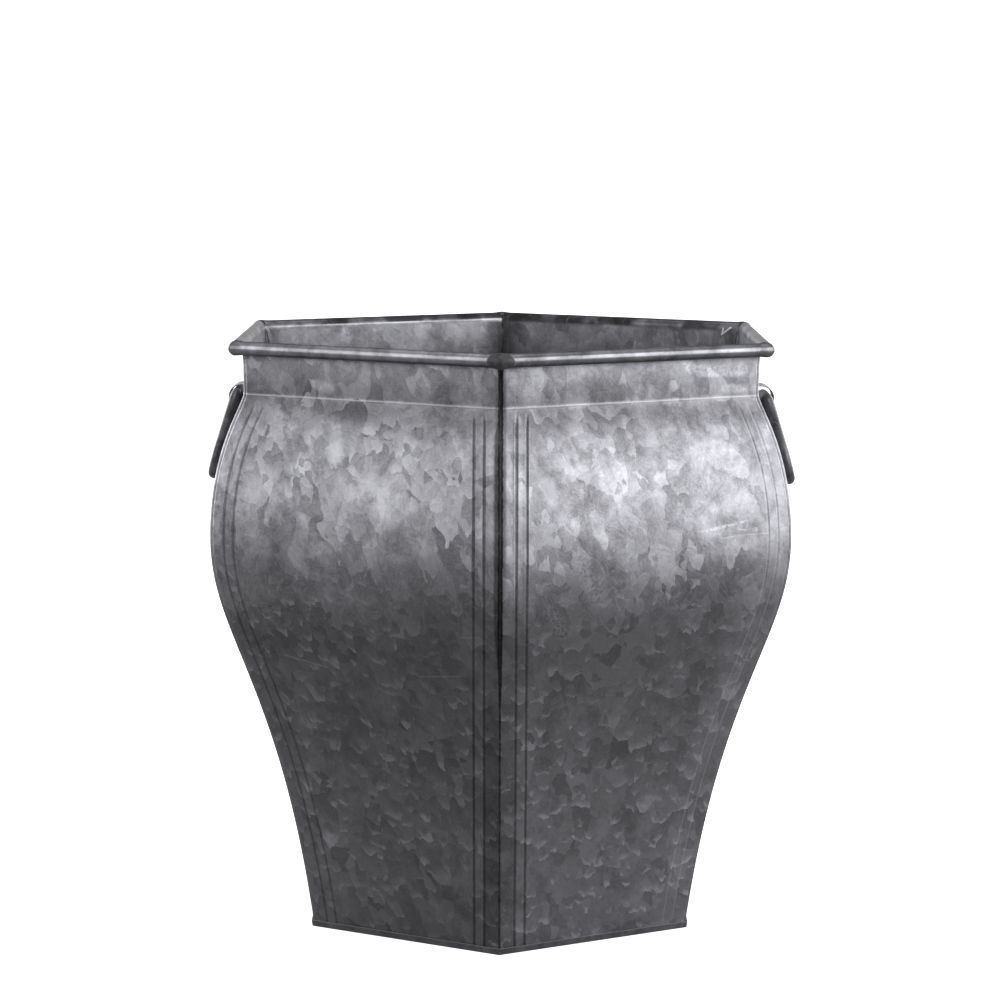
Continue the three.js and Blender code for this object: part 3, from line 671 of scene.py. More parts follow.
stains = {"front_left": (0.0, 1.0), "front_right": (0.6, 0.0), "others": (0, 0)}
# painted light and shade of each wall's roll: the right front one darker, the left front one lighter
painted_roll_shades = {"front_left": 1.06, "front_right": 0.84, "others": 1}
lip_grime_and_shade = {"back_right": 1.0, "others": 0}
black_width, darkest_soot_width = 0.6, 1.8
inside_blur, no_soot = 0.65, -4

# Heights, and then distances from a wall's edge, over which one finish passes into the next.
taper_to_belly, taper_light_end, neck_light_start = (200, 300), (215, 260), (355, 368)
black_narrows, soot_starts, soot_ends = (150, 230), (185, 240), (344, 364)
stain_ends, blur_starts = (80, 240), (240, 310)
outer_edge_reach, stain_reach, crease_reach = (8, 50), (10.2, 12.4), (1.0, 2.4)


def own(values, name):
    """A wall's or corner's own value, or else the one that the others share."""
    return values.get(name, values["others"])


def beside(pair):
    """A value for every column: one at the wall's left edge and one at its right edge."""
    return np.where(columns["side"] < 0, *pair)[None, :]


faces = wall_faces(len(rows["z"]), len(columns["share"]))
for index, name in enumerate(wall_names):
    near_strap = name in ("left", "right")
    shape = 11 + index, near_strap, own(press_shares, name)
    outer, edge = wall_points("outer", *shape)
    inner, inner_edge = wall_points("inner", *shape)
    wall = piece(f"panel_{name}", np.vstack([outer, inner]), faces, index * side_angle)
    row = {key: value[:, None] for key, value in rows.items()}
    at = row["z"]
    upper, lower = own(painted_wall_light, name)
    # painted light and shade: each wall lighter or darker, upper and lower part apart, and at its outer
    # edge
    shade = lower + (upper - lower) * smooth_step(*taper_to_belly, at)
    at_neck, at_taper = own(painted_edge_light, name)
    outer_edge = (1 - smooth_step(*outer_edge_reach, edge)) * beside(own(outer_edges, name))
    taper_light = at_taper * (1 - smooth_step(*taper_light_end, at))
    shade = shade * (1 + outer_edge * (taper_light + at_neck * smooth_step(*neck_light_start, at)))
    run = beside(own(flux_run, name))
    black_spread = np.clip(run - black_width, 0, darkest_soot_width - black_width)
    black = np.minimum(run, black_width) + black_spread * smooth_step(*black_narrows, at)
    on_belly = smooth_step(*soot_starts, at) * (1 - smooth_step(*soot_ends, at))
    soot_run = black + (run - np.minimum(run, darkest_soot_width)) * on_belly
    stained = (1 - smooth_step(*stain_reach, edge)) * (1 - smooth_step(*stain_ends, at))
    groove_fades = smooth_step(0, groove_fade, groove_top - at)
    bead_share = row["bead"] / crease_bead_height
    on_lip = row["nx"] > 0
    outer_marks = {
        "edge_mm": edge,
        "groove_mm": columns["press"] * groove_fades * beside(own(groove_darkening, name)),
        # painted highlight on the crease's bead
        "crease_highlight": bead_share ** 1.6 * smooth_step(*crease_reach, edge),
        "blur": own(sheet_blurs, name) * smooth_step(*blur_starts, at) + 0.1,
        "stain": beside(own(stains, name)) * stained,
        "black_mm": black, "soot_mm": soot_run, "shade": shade,
        "under_roll_shade": row["under_roll_shade"], "rolled": row["rolled"], "inside": 0, "inward": 0, "under": 0,
        "painted_roll_shade": own(painted_roll_shades, name)}
    inner_marks = {
        "edge_mm": inner_edge, "groove_mm": 0, "crease_highlight": 0, "blur": inside_blur, "stain": 0,
        "black_mm": no_soot, "soot_mm": no_soot, "shade": shade,
        "under_roll_shade": 0, "rolled": row["rolled"], "inside": 1,
        # darkened like the roll's inner half: grime and painted shade
        "inward": np.maximum(row["inward"] * (not near_strap), own(lip_grime_and_shade, name) * on_lip),
        "under": row["under"], "painted_roll_shade": own(painted_roll_shades, name)}
    for label, values in outer_marks.items():
        skins = [np.broadcast_to(skin, edge.shape) for skin in (values, inner_marks[label])]
        mark(wall, label, np.stack(skins))
    wall.data.materials.append(zinc)
    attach(wall, "bucket")
    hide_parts(f"wall_{name}")


# Rim wire. Drawn steel wire bent into a hexagon, closed in by the roll of the walls. It keeps the
# solid's own shape and gets a plain drawn finish with fine lines along it.
def ramp(tree, factor, low, high, low_at=0.0, high_at=1.0):
    """A colour that passes from low to high as the factor goes from low_at to high_at."""
    made = node(tree, "ShaderNodeValToRGB", {"Fac": factor})
    for stop, colour, at in zip(made.color_ramp.elements, (low, high), (low_at, high_at)):
        stop.color, stop.position = colour, at
    return made.outputs["Color"]


wire_steel, tree, shader = finish("drawn wire", 0.9)
place = object_place(tree)
dull = noise(tree, place, 60.0, 4, 0.6)
drawn = noise(tree, calc_xyz(tree, "MULTIPLY", place, (120.0, 120.0, 1500.0)), 1.0)
colour = ramp(tree, dull, metal(0.14, 0.15), metal(0.34, 0.35))
wire_up(tree, shader, colour, remap(tree, dull, 0.2, 0.8, 0.35, 0.6), bump(tree, drawn, 0.1, 0.3))
frame["nodes"]["rim_wire"].data.materials.clear()
frame["nodes"]["rim_wire"].data.materials.append(wire_steel)


# Corner seams. A run of solder along the bottom of each corner notch holds the turned edges of
# two walls together. Flux and dirt have blackened it, and small bright beads stand out of it.
corner_names = ["back_right", "back", "back_left", "front_left", "front", "front_right"]
edge_crest_across, edge_crest_depth = 2.25, 0.6
seam_half_width_share, seam_thickness, seam_sink, seam_crown = 0.5, 0.9, 0.32, 0.12


def loft_faces(rings, count):
    """Faces through rings of points, each with count points, with a cap on both ends."""
    r, k = np.meshgrid(np.arange(rings - 1), np.arange(count), indexing="ij")
    a, b = (r * count + k).ravel(), (r * count + (k + 1) % count).ravel()
    last = (rings - 1) * count
    return np.stack([a, b, b + count, a + count], 1).tolist() + [
        list(range(count))[::-1], [last + k for k in range(count)]]


def notch_spot(across, depth):
    """Sideways and inward from the sharp corner, for a spot on a wall's turned edge."""
    from_corner = across + depth * side_tan
    return from_corner * side_cos - depth * side_sin, from_corner * side_sin + depth * side_cos


def seam_points(seed):
    """Rings of points up a notch, each with its own width and crown, and the faces round them."""
    chance = np.random.default_rng(seed)
    upright = rows["turn"] > 0.999
    points, count = [], 0
    for x, height, nx, nz in zip(*(rows[key][upright] for key in ("x", "z", "nx", "nz"))):
        share = notch_share(height)
        root = notch_spot(clearance, edge_depth * share)
        crest = notch_spot(clearance + (edge_crest_across - clearance) * share, edge_crest_depth * share)
        half = seam_half_width_share * crest[0] * chance.uniform(0.85, 1.05)
        fall = (root[1] - crest[1]) / (crest[0] - root[0])
        low = root[1] - seam_sink
        side = low - max(half - root[0], 0) * fall
        top = low - seam_thickness * share * chance.uniform(0.7, 1.05)
        rounded = min(side, top) - 0.05
        flank = [(0.6 * half, (low + side) / 2), (half, side), (0.45 * half, rounded)]
        ring = [(0, low)] + [(-aside, inward) for aside, inward in flank]
        ring += [(0, top - seam_crown)] + flank[::-1]
        points += [(x / side_cos - nx * inward, aside, height - nz * inward) for aside, inward in ring]
        count += 1
    return np.array(points), loft_faces(count, len(ring))


black_solder, tree, shader = finish("blackened solder", 0.4)
place = object_place(tree)
crust = noise(tree, place, 420.0, 5, 0.7)
crusty = remap(tree, crust, 0.35, 0.75)
beads = node(tree, "ShaderNodeTexVoronoi", {"Vector": place, "Scale": 700.0}).outputs["Distance"]
bead = times(tree, remap(tree, beads, 0.32, 0.12), remap(tree, noise(tree, place, 90.0), 0.58, 0.66))
black = mixed(tree, crusty, metal(0.014, 0.015), metal(0.07, 0.075))
grey = mixed(tree, crusty, metal(0.12, 0.13), metal(0.3, 0.32))
colour = mixed(tree, attribute(tree, "soot"), grey, black)
colour = mixed(tree, bead, colour, metal(0.42, 0.44))
roughness = mixed(tree, bead, remap(tree, crust, 0.3, 0.7, 0.55, 0.85), 0.3, "FLOAT")
wire_up(tree, shader, colour, roughness, bump(tree, times(tree, bead, 0.8, crust), 0.6, 0.8))

soot = {"front": 1.0, "back": 0.7, "others": 0.15}
belly_bared, belly_bare_from, belly_bare_to = 0.36, (262, 290), (355, 366)
foot_bared, foot_bare_to = 0.12, (150, 200)
for index, name in enumerate(corner_names):
    points, seam_faces = seam_points(70 + index)
    seam = piece(f"seam_{name}", points, seam_faces, (index + 0.5) * side_angle)
    at = points[:, 2]
    lift = belly_bared * (smooth_step(*belly_bare_from, at) - smooth_step(*belly_bare_to, at))
    lift += foot_bared * (1 - smooth_step(*foot_bare_to, at))
    mark(seam, "soot", np.clip(own(soot, name) - lift, 0, 1))
    seam.data.materials.append(black_solder)
    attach(seam, "bucket")
    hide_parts(f"corner_seam_{name}")


# Rim corners. The mitred ends of the rolled rim are closed by a lens of solder wiped on over
# each corner. It is dull and darker than the zinc, and thins out to nothing at its edge.
cap_leg, cap_swell, cap_unevenness = 11.5, 0.42, 0.18
cap_sags = {"front": 1.3, "back": 0.6, "others": 0.45}
cap_bulges_and_rounds = {"front": (0.2, 1.0), "back": (0.2, 1.0), "others": (0.6, 2.0)}
cap_dullness = {"front": 1.0, "back": 0.8, "others": 0.08}
sag_angle, sag_spread, bulge_spread = -1.1, 0.5, 0.85
cap_low_angle, cap_high_angle = math.radians(-92), math.radians(148)
lens_middle, lens_reach, lens_tail = math.radians(-2), math.radians(112), 0.14
cap_lift, cap_seat = 0.06, 0.03


def cap_points(seed, cap_sag, cap_bulge, cap_round):
    """Outer and inner skin of one lens: rows run along the rim, columns round the roll."""
    chance = np.random.default_rng(seed)
    s, t = np.meshgrid(np.linspace(-1, 1, 41), np.linspace(-1, 1, 29), indexing="ij")
    angle = cap_low_angle + (t + 1) / 2 * (cap_high_angle - cap_low_angle)
    lens = np.clip(1 - np.abs((angle - lens_middle) / lens_reach), 0, 1) ** 0.6
    width = lens * (1 - lens_tail) + lens_tail
    swell = np.clip(1 - s ** 2, 0, 1) ** 1.2 * np.clip(1 - t ** 4, 0, 1) ** 0.5
    uneven = np.sin(5 * s + chance.uniform(0, 6)) * np.sin(4 * t + chance.uniform(0, 6))
    swell = swell * (1 + cap_unevenness * uneven)
    sag = cap_sag * np.exp(-((angle - sag_angle) / sag_spread) ** 2)
    sag = sag * np.clip(1 - np.abs(s), 0, 1) ** 1.3 * (t > -0.999)
    sag = sag + cap_bulge * np.exp(-(angle / bulge_spread) ** 2) * np.clip(1 - s ** 2, 0, 1)
    skins = []
    for radius in (roll_radius + cap_lift + cap_swell * swell + sag, roll_radius + cap_seat + 0 * swell):
        out = roll_distance + radius * np.cos(angle)
        y = s * width * cap_leg * side_cos
        x = out / side_cos - np.sqrt(y ** 2 + cap_round ** 2) * side_tan
        skins.append(np.stack([x, y, roll_height + radius * np.sin(angle)], 2))
    marks = {"dull": np.clip(1 - np.abs(s), 0, 1), "inward": roll_inward(angle), "under": roll_under(angle)}
    return skins, marks


tinned, tree, shader = finish("dull solder", 0.75)
place = object_place(tree)
cloud = noise(tree, place, 170.0, 5, 0.7)
grit = noise(tree, place, 1400.0, 3, 0.7)
dull = times(tree, centred(tree, cloud), 0.9, attribute(tree, "dull"))
dull = times(tree, remap(tree, dull, -0.02, 0.17), attribute(tree, "strength"))
roll = burnished(tree)
solder_grey = ramp(tree, cloud, metal(0.05, 0.054), metal(0.17, 0.18), 0.3, 0.75)
colour = mixed(tree, dull, roll["Colour"], solder_grey)
roughness = mixed(tree, dull, roll["Roughness"], remap(tree, cloud, 0.3, 0.7, 0.5, 0.62), "FLOAT")
pitted = times(tree, cloud, 0.7, times(tree, grit, 0.25))
wire_up(tree, shader, colour, roughness, bump(tree, pitted, 0.5, times(tree, dull, 0.4, 0.1)))

for index, name in enumerate(corner_names):
    shape = own(cap_sags, name), *own(cap_bulges_and_rounds, name)
    (outer, inner), cap_marks = cap_points(90 + index, *shape)
    points = np.vstack([outer.reshape(-1, 3), inner.reshape(-1, 3)])
    cap_faces = wall_faces(*outer.shape[:2])[:, ::-1]
    cap = piece(f"rim_solder_{name}", points, cap_faces, (index + 0.5) * side_angle)
    cap_marks["strength"] = np.full(outer.shape[:2], own(cap_dullness, name))
    # the corners' solder gets the same painted light of the roll
    cap_marks["painted_roll_shade"] = np.full(outer.shape[:2], own(painted_roll_shades, name))
    for label, values in cap_marks.items():
        mark(cap, label, np.tile(values.ravel(), 2))
    cap.data.materials.append(tinned)
    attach(cap, "bucket")
    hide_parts(f"rim_corner_{name}")


# Base pan. A flat hexagon of thinner sheet whose edge is folded up outside the walls as a narrow
# hem. Its free edge is slightly rolled and rubbed, and its corners are folded round.
pan_sheet, hem_height, hem_slope = 0.7, 4.5, 0.15
pan_corner_round = 1.6
hem_lip_out, hem_lip_up = 0.42, pan_sheet / 2
hem_straight_height = hem_height - 0.5
bottom_bend = [(1.6, 0.0), (0.45, 0.0), (0.18, 0.12), (0.03, 0.45)]
hem_inner = foot_radius + clearance / side_cos
hem_outer = hem_inner + pan_sheet / side_cos


def hexagon_ring(radius, height, corner_round, corner_steps=6, side_steps=12):
    """Points round a hexagon with its corners rounded, corner_round being their radius."""
    centre = radius - corner_round / side_cos

    def spot(axis, angle):
        return (centre * math.cos(axis) + corner_round * math.cos(angle),
                centre * math.sin(axis) + corner_round * math.sin(angle), height)

    ring = []
    for corner in range(len(corner_names)):
        axis = (corner + 0.5) * side_angle
        ring += [spot(axis, axis - side_angle / 2 + side_angle * step / corner_steps)
                 for step in range(corner_steps + 1)]
        start = np.array(ring[-1])
        axis += side_angle
        end = np.array(spot(axis, axis - side_angle / 2))
        ring += [tuple(start + (end - start) * step / side_steps) for step in range(1, side_steps)]
    return ring


def hem_at(height):
    """How far the sloping hem leans out at a height."""
    return hem_slope * (height - 1)


# Radius to the corner and height, from the underside round the bend, up the hem's outside, over
# its rolled edge, down between hem and wall, and in over the pan's upper face.
hem_lip_middle = hem_outer - pan_sheet / 2 + hem_at(hem_height)
hem_profile = [(hem_outer - inward, height) for inward, height in bottom_bend]
hem_profile += [(hem_outer + hem_at(height), height) for height in np.linspace(1.0, hem_straight_height, 5)]
hem_profile += [(hem_lip_middle + hem_lip_out * math.cos(angle),
                 hem_height - hem_lip_up + hem_lip_up * math.sin(angle))
                for angle in np.linspace(0, math.pi, 7)[1:-1]]
hem_profile += [(hem_inner + 0.02 + hem_at(height), height)
                for height in np.linspace(hem_straight_height, 0.9, 4)]
hem_profile.append((hem_inner - pan_sheet / 2, pan_sheet))
pan_rings = [hexagon_ring(radius, height, pan_corner_round) for radius, height in hem_profile]
for radius in (120, 80, 40, 12):
    pan_rings.append(hexagon_ring(radius, pan_sheet, pan_corner_round * radius / hem_inner))

pan_zinc, tree, shader = finish("worn pan zinc", 0.85)
crystals = use(tree, bloom, {"Crystal Size": 0.015, "Tilt": 0.1, "Feather": 0.4, "Blur": 0.4})
marks = use(tree, wear, {"Scratches": 0.8, "Scuffs": 0.9})
colour = mixed(tree, crystals["Tone"], metal(0.13, 0.14), metal(0.36, 0.388))
worn_edge = remap(tree, height_of(tree, object_place(tree)), 0.0039, 0.0043)
colour = mixed(tree, times(tree, worn_edge, 0.95), colour, metal(0.5, 0.53))
colour = mixed(tree, times(tree, marks["Mask"], 0.5), colour, metal(0.45, 0.47))
wire_up(tree, shader, colour, remap(tree, crystals["Tone"], 0.0, 1.0, 0.5, 0.36),
        bump(tree, marks["Height"], 0.3, 0.4, Normal=crystals["Facing"]))

pan = piece("pan", np.concatenate(pan_rings), loft_faces(len(pan_rings), len(pan_rings[0])), sharp_angle=40)
pan.data.materials.append(pan_zinc)
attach(pan, "bucket")
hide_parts("base_pan")


# Base solder. A fillet of solder run inside, in the angle between walls and pan, so that the
# bucket holds water. It's seen only from above and is a little uneven all the way round.
fillet_leg, fillet_corner_round, fillet_lift = 4.0, 1.2, 0.02
fillet_out = foot_radius - notch_spot(clearance + wall_sheet, edge_depth)[1] - clearance
fillet_low = foot_height + fillet_lift
fillet = [(fillet_out - fillet_leg * (1 - share) ** 1.6, fillet_low + fillet_leg * share ** 1.6)
          for share in np.linspace(0, 1, 9)]
fillet.append((fillet_out, fillet_low))
rings = np.array([hexagon_ring(radius, height, fillet_corner_round) for radius, height in fillet])
count, size = rings.shape[:2]
chance = np.random.default_rng(5)
around = np.linspace(0, 2 * math.pi, size, False)
uneven = sum(chance.uniform(0.04, 0.12) * np.sin(chance.integers(5, 60) * around + chance.uniform(0, 6))
             for _ in range(8))
inward = 0.6 * np.abs(np.sin(np.linspace(0, math.pi, count))[:, None] * uneven[None, :])
rings[..., :2] *= 1 - (inward / np.hypot(rings[..., 0], rings[..., 1]))[..., None]
r, k = np.meshgrid(np.arange(count), np.arange(size), indexing="ij")
ring_after, next_round = (r + 1) % count * size, (k + 1) % size
fillet_faces = np.stack([
    ring_after + k, ring_after + next_round, r * size + next_round, r * size + k], 2).reshape(-1, 4)
base_bead = piece("base_bead", rings.reshape(-1, 3), fillet_faces)
for label in ("dull", "strength"):
    mark(base_bead, label, np.ones(count * size))
base_bead.data.materials.append(tinned)
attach(base_bead, "bucket")
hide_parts("base_solder")


# Handle straps. A strip of thin zinc sheet bent out into a loop over the handle's bar, with one
# foot riveted to the neck and one to the belly. Its ends are cut with rounded corners.
strap_sheet, strap_width, strap_end_round = 0.9, 22.0, 4.0
strap_upper_foot, strap_lower_foot = 17.0, 16.0
strap_below_crease, loop_height, loop_reach, loop_bar_radius = 0.8, 13, 17.4, 7.9
strap_top_height = crease_height - strap_below_crease - strap_sheet / 2
strap_out = crease_radius * side_cos + loop_reach - strap_sheet / 2
loop_radius = loop_bar_radius + strap_sheet / 2
strap_bottom_height = strap_top_height - loop_height - strap_sheet
foot_bend, loop_low_bend = 1.8, 4.5
seat_heights = {"upper": strap_top_height + strap_upper_foot / 2 + foot_bend,
                "lower": strap_bottom_height - strap_lower_foot / 2}
side_turns = {"left": math.pi, "right": 0.0}


def seat_at(height):
    """Outer face of a wall's middle at a height, and its outward direction there."""
    faces_out = lambda z: corner_radius(z) * side_cos + bow_at(z)
    slope = faces_out(height + 0.5) - faces_out(height - 0.5)
    run = math.hypot(slope, 1)
    return np.array((float(faces_out(height)), height)), np.array((1 / run, -slope / run))


def bent_line(corners, radii, steps=9):
    """A line through flat corners, each rounded by its radius."""
    line = [np.array(corners[0], float)]
    for index in range(1, len(corners) - 1):
        corner = np.array(corners[index], float)
        back, ahead = (np.array(corners[k], float) - corner for k in (index - 1, index + 1))
        back, ahead = back / np.hypot(*back), ahead / np.hypot(*ahead)
        half = math.acos(max(-1, min(1, float(back @ ahead)))) / 2
        radius = radii[index - 1]
        inward = (back + ahead) / np.hypot(*(back + ahead))
        middle = corner + inward * radius / math.sin(half)
        start = corner + back * radius / math.tan(half) - middle
        sweep = (math.pi - 2 * half) * -np.sign(back[0] * ahead[1] - back[1] * ahead[0])
        for step in range(steps + 1):
            angle = sweep * step / steps
            c, s = math.cos(angle), math.sin(angle)
            line.append(middle + np.array((c * start[0] - s * start[1], s * start[0] + c * start[1])))
    line.append(np.array(corners[-1], float))
    return np.array(line)


def foot_spot(seat, height):
    """The middle of a strap's foot at a height, where it lies along the wall."""
    spot, outward = seat
    off = spot + outward * (clearance + strap_sheet / 2)
    return (off[0] - (height - off[1]) / outward[0] * outward[1], height)


def strap_mesh():
    """Both skins of a strap, bent over the bar, with softened edges and rounded ends."""
    upper, lower = seat_at(seat_heights["upper"]), seat_at(seat_heights["lower"])
    corners = [
        foot_spot(upper, strap_top_height + strap_upper_foot), foot_spot(upper, strap_top_height),
        (strap_out, strap_top_height), (strap_out, strap_bottom_height),
        foot_spot(lower, strap_bottom_height), foot_spot(lower, strap_bottom_height - strap_lower_foot)]
    bent = bent_line(corners, [foot_bend, loop_radius, loop_low_bend, foot_bend])
    length = np.append(0, np.cumsum(np.hypot(*np.diff(bent, axis=0).T)))
    ends = np.array([0, 0.25, 0.6, 1.1, 1.8, 2.8, strap_end_round])
    between = np.linspace(strap_end_round, length[-1] - strap_end_round, 30)
    at = np.unique(np.concatenate([ends, length[1:-1], between, length[-1] - ends]))
    line = np.stack([np.interp(at, length, bent[:, k]) for k in (0, 1)], 1)
    direction = np.gradient(line, axis=0)
    direction /= np.hypot(*direction.T)[:, None]
    side = np.stack([-direction[:, 1], direction[:, 0]], 1)
    cut = np.clip(strap_end_round - np.minimum(at, length[-1] - at), 0, strap_end_round)
    half = strap_width / 2 - strap_end_round + np.sqrt(strap_end_round ** 2 - cut ** 2)
    across = np.array([-1, -0.985, -0.9, -0.6, -0.2, 0.2, 0.6, 0.9, 0.985, 1])
    soft = np.interp(np.abs(across), (0.9, 0.985, 1), (1, 0.92, 0.55))
    skins = []
    for face in (-1, 1):
        off = line[:, None, :] + side[:, None, :] * (face * strap_sheet / 2 * soft[None, :, None])
        skins.append(np.stack([off[..., 0], half[:, None] * across[None, :], off[..., 1]], 2))
    return np.vstack([skin.reshape(-1, 3) for skin in skins]), wall_faces(len(at), len(across))


strap_zinc, tree, shader = finish("strap zinc", 0.9)
crystals = use(tree, bloom, {"Crystal Size": 0.008, "Tilt": 0.08, "Feather": 0.5, "Blur": 0.3})
marks = use(tree, wear, {"Scratches": 1.0, "Scuffs": 0.8})
colour = mixed(tree, crystals["Tone"], metal(0.45, 0.47), metal(0.8, 0.83))
colour = mixed(tree, times(tree, marks["Mask"], 0.6), colour, metal(0.12, 0.13))
wire_up(tree, shader, colour, remap(tree, crystals["Grain"], 0.3, 0.7, 0.28, 0.42),
        bump(tree, marks["Height"], 0.2, 0.4, Normal=crystals["Facing"]))

strap_shape = strap_mesh()
for side, turn in side_turns.items():
    strap = piece(f"strap_{side}", *strap_shape, turn)
    strap.data.materials.append(strap_zinc)
    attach(strap, "bucket")
    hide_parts(f"handle_strap_{side}")


# Strap rivets. One solid rivet through each foot of a strap: a domed head outside, hammered a
# little flat, and a set tail inside the wall.
rivet_shank, rivet_head, rivet_tail = 2.0, 4.2, 3.5
rivet_head_height, rivet_tail_height = 2.2, 1.4
hammered_flat = 0.93


def rivet_mesh(seat, steps=32):
    """A rivet turned about its own axis, from its tail to the top of its head."""
    tail_top, head_base = -wall_sheet - clearance, 2 * clearance + strap_sheet
    tail = [(0, 1), (0.75, 1), (0.95, 0.8), (1, 0.45), (0.97, 0)]
    outline = [(rivet_tail * radius, tail_top - rivet_tail_height * down) for radius, down in tail]
    outline += [(rivet_shank, tail_top), (rivet_shank, head_base), (rivet_head * 0.98, head_base)]
    for angle in np.linspace(0.1, math.pi / 2, 9)[:-1]:
        outline.append((rivet_head * math.cos(angle),
                        head_base + rivet_head_height * min(math.sin(angle), hammered_flat)))
    outline.append((0, head_base + rivet_head_height * hammered_flat))
    spot, outward = seat
    points, rings = [], []
    for radius, out in outline:
        around = [0.0] if radius == 0 else np.linspace(0, 2 * math.pi, steps, False)
        rings.append(list(range(len(points), len(points) + len(around))))
        for angle in around:
            aside, up = radius * math.cos(angle), radius * math.sin(angle)
            x = spot[0] + out * outward[0] - up * outward[1]
            z = spot[1] + out * outward[1] + up * outward[0]
            points.append((x, aside, z))
    faces = []
    for low, high in zip(rings, rings[1:]):
        for k in range(steps):
            n = (k + 1) % steps
            corners = [low[k % len(low)], low[n % len(low)], high[n % len(high)], high[k % len(high)]]
            faces.append(list(dict.fromkeys(corners)))
    return points, faces


for side, turn in side_turns.items():
    for place_name, height in seat_heights.items():
        rivet = piece(f"rivet_{side}_{place_name}", *rivet_mesh(seat_at(height)), turn, 50)
        rivet.data.materials.append(strap_zinc)
        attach(rivet, "bucket")
        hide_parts(f"strap_rivet_{side}_{place_name}")


# Handle rings. Round bar bent into a closed trapezoid with soft corners. Its short side runs
# through the strap's loop, and it hangs against the belly. The bar is smooth, dark and rubbed.
bar_radius, ring_drop = 4.08, 55.0
ring_top_half, ring_bottom_half = 24.0, 51.0
ring_top_bend, ring_bottom_bend = 9.0, 15.0
ring_leans = {"left": 15.8, "right": 15.6}
joints = {joint["name"]: joint for joint in frame["joints"]}


def ring_mesh(bar_x, bar_z, lean, sides=24, bend_steps=12, straight_steps=8):
    """A ring's bar, laid flat and then hung from its hinge at a lean."""
    shape = [(-ring_top_half, 0), (ring_top_half, 0),
             (ring_bottom_half, -ring_drop), (-ring_bottom_half, -ring_drop)]
    bends = [ring_top_bend, ring_top_bend, ring_bottom_bend, ring_bottom_bend]
    turns = [bent_line([shape[k - 1], shape[k], shape[(k + 1) % 4]], [bends[k]], bend_steps)[1:-1]
             for k in range(4)]
    line = []
    for k in range(4):
        start, end = turns[k][-1], turns[(k + 1) % 4][0]
        line += list(turns[k])
        line += [start + (end - start) * step / straight_steps for step in range(1, straight_steps)]
    line = np.array(line)
    direction = np.roll(line, -1, 0) - np.roll(line, 1, 0)
    direction /= np.hypot(*direction.T)[:, None]
    out = np.stack([direction[:, 1], -direction[:, 0]], 1)
    angle = np.linspace(0, 2 * math.pi, sides, False)
    flat = line[:, None, :] + bar_radius * np.cos(angle)[None, :, None] * out[:, None, :]
    off = bar_radius * np.sin(angle)[None, :] + 0 * flat[..., 0]
    c, s = math.cos(lean), math.sin(lean)
    x = bar_x + off * c - flat[..., 1] * s
    z = bar_z + flat[..., 1] * c + off * s
    r, k = np.meshgrid(np.arange(len(line)), np.arange(sides), indexing="ij")
    r, k = r.ravel(), k.ravel()
    n, after = (r + 1) % len(line), (k + 1) % sides
    faces = np.stack([r * sides + k, n * sides + k, n * sides + after, r * sides + after], 1)
    return np.stack([x, flat[..., 0], z], 2).reshape(-1, 3), faces


bar_steel, tree, shader = finish("rubbed dark bar", 0.9)
marks = use(tree, wear, {"Scratches": 1.0, "Scuffs": 1.0})
place = object_place(tree)
cloud = noise(tree, place, 75.0, 5, 0.62)
drawn = noise(tree, calc_xyz(tree, "MULTIPLY", place, (500.0, 90.0, 160.0)), 1.0, 3)
colour = ramp(tree, cloud, metal(0.065, 0.07), metal(0.24, 0.256), 0.3, 0.72)
colour = mixed(tree, times(tree, marks["Mask"], 0.35), colour, metal(0.42, 0.44))
relief = times(tree, drawn, 0.35, times(tree, cloud, 0.9))
wire_up(tree, shader, colour, remap(tree, cloud, 0.3, 0.7, 0.3, 0.46), bump(tree, relief, 0.3, 0.4))

for side, turn in side_turns.items():
    hinge = joints[f"{side}_handle_swing"]["pos_m"]
    points, faces = ring_mesh(abs(hinge[0]) / mm, hinge[2] / mm, math.radians(ring_leans[side]))
    ring = piece(f"ring_{side}", points, faces, turn, 60)
    ring.data.materials.append(bar_steel)
    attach(ring, f"handle_{side}")
    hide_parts(f"handle_ring_{side}")


# Studio floor. A seamless sheet of white paper lies under the bucket and curves up behind it. The
# camera sees it lit to plain white, and the metal sees it as a grey room floor.
floor_mesh = bpy.data.meshes.new("studio_floor")
paper_half_width, paper_front, bend_start, bend_radius, paper_top = 4.0, -3.0, 1.6, 1.2, 4.0
side_on = [(paper_front, 0.0), (bend_start, 0.0)]
side_on += [(bend_start + math.sin(a) * bend_radius, bend_radius - math.cos(a) * bend_radius)
            for a in np.linspace(0, math.pi / 2, 13)[1:]]
side_on.append((bend_start + bend_radius, paper_top))
n = len(side_on)
floor_mesh.from_pydata([(x, y, z) for x in (-paper_half_width, paper_half_width) for y, z in side_on], [],
                       [(i, i + n, i + n + 1, i + 1) for i in range(n - 1)])
floor_mesh.shade_smooth()
floor = bpy.data.objects.new("studio_floor", floor_mesh)
bpy.context.scene.collection.objects.link(floor)
paper = bpy.data.materials.new("white paper")
paper.use_nodes = True
tree = paper.node_tree
tree.nodes.clear()
seen = node(tree, "ShaderNodeLightPath").outputs["Is Camera Ray"]
shown = node(tree, "ShaderNodeBsdfDiffuse", {"Color": (0.9, 0.9, 0.9, 1)})
glow = node(tree, "ShaderNodeEmission", {"Color": (1, 1, 1, 1), "Strength": 0.9})
shown = node(tree, "ShaderNodeAddShader", {0: shown.outputs[0], 1: glow.outputs[0]})
unseen = node(tree, "ShaderNodeBsdfDiffuse", {"Color": (0.36, 0.36, 0.36, 1)})
either = node(tree, "ShaderNodeMixShader", {0: seen, 1: unseen.outputs[0], 2: shown.outputs[0]})
node(tree, "ShaderNodeOutputMaterial", {"Surface": either.outputs[0]})
floor.data.materials.append(paper)


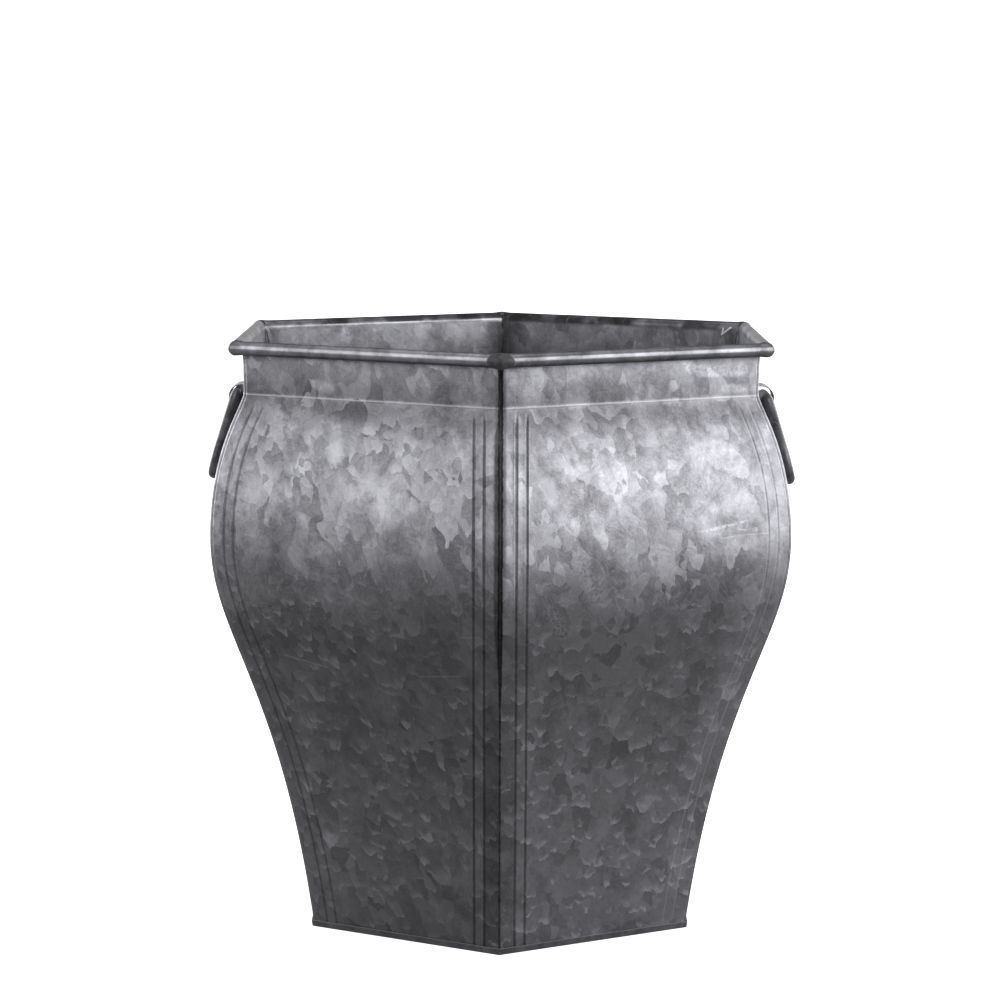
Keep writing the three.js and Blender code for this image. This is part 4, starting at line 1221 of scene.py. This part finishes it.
# Studio light. Large soft boxes at both sides, the right one brighter, one above and three behind,
# all turned to the bucket's middle, in a dim white room.
light_target = Vector((0, 0, 0.28))
soft_boxes = {
    "left_box": ((-1.75, -0.88, 0.9), 1.2, 1.5, 1.15),
    "right_box": ((1.83, -0.68, 0.8), 1.2, 1.5, 2.4),
    "top_box": ((0, -0.2, 2.0), 1.6, 1.2, 1.5),
    "back_box": ((0, 2.0, 0.8), 1.6, 1.4, 0.25),
    "back_left_box": ((-1.55, 1.35, 0.7), 2.0, 1.3, 3.1),
    "back_right_box": ((1.55, 1.35, 0.7), 2.0, 1.3, 3.1),
}
for name, (place, width, height, radiance) in soft_boxes.items():
    light = bpy.data.lights.new(name, "AREA")
    light.shape = "RECTANGLE"
    light.size, light.size_y = width, height
    light.energy = radiance * math.pi * width * height
    box = bpy.data.objects.new(name, light)
    box.location = place
    box.rotation_euler = (light_target - Vector(place)).to_track_quat("-Z", "Y").to_euler()
    box.visible_camera = False
    bpy.context.scene.collection.objects.link(box)

world = bpy.data.worlds.new("studio")
bpy.context.scene.world = world
world.use_nodes = True
room = world.node_tree
room.nodes["Background"].inputs["Color"].default_value = (1, 1, 1, 1)
camera_ray = node(room, "ShaderNodeLightPath").outputs["Is Camera Ray"]
room_strength, backdrop_strength = 0.35, 1.0
strength = mixed(room, camera_ray, room_strength, backdrop_strength, "FLOAT")
room.links.new(strength, room.nodes["Background"].inputs["Strength"])


# Camera. It stands about two metres in front of the bucket's corner with a long lens, a little
# above it and tilted down, as fitted to the corners of the rim, crease and foot.
camera_data = bpy.data.cameras.new("camera")
camera_data.lens, camera_data.sensor_width = 113.8, 36
camera_data.clip_end = 50
camera = bpy.data.objects.new("camera", camera_data)
bpy.context.scene.collection.objects.link(camera)
camera_turn, camera_tilt, camera_roll = math.radians(0.15), math.radians(90 - 7.117), math.radians(-0.18)
camera.location = Euler((0, 0, camera_turn)).to_matrix() @ Vector((-0.0016, -2.170, 0.554))
camera.rotation_euler = (camera_tilt, camera_roll, camera_turn)
bpy.context.scene.camera = camera
bpy.context.scene.view_settings.view_transform = "Standard"
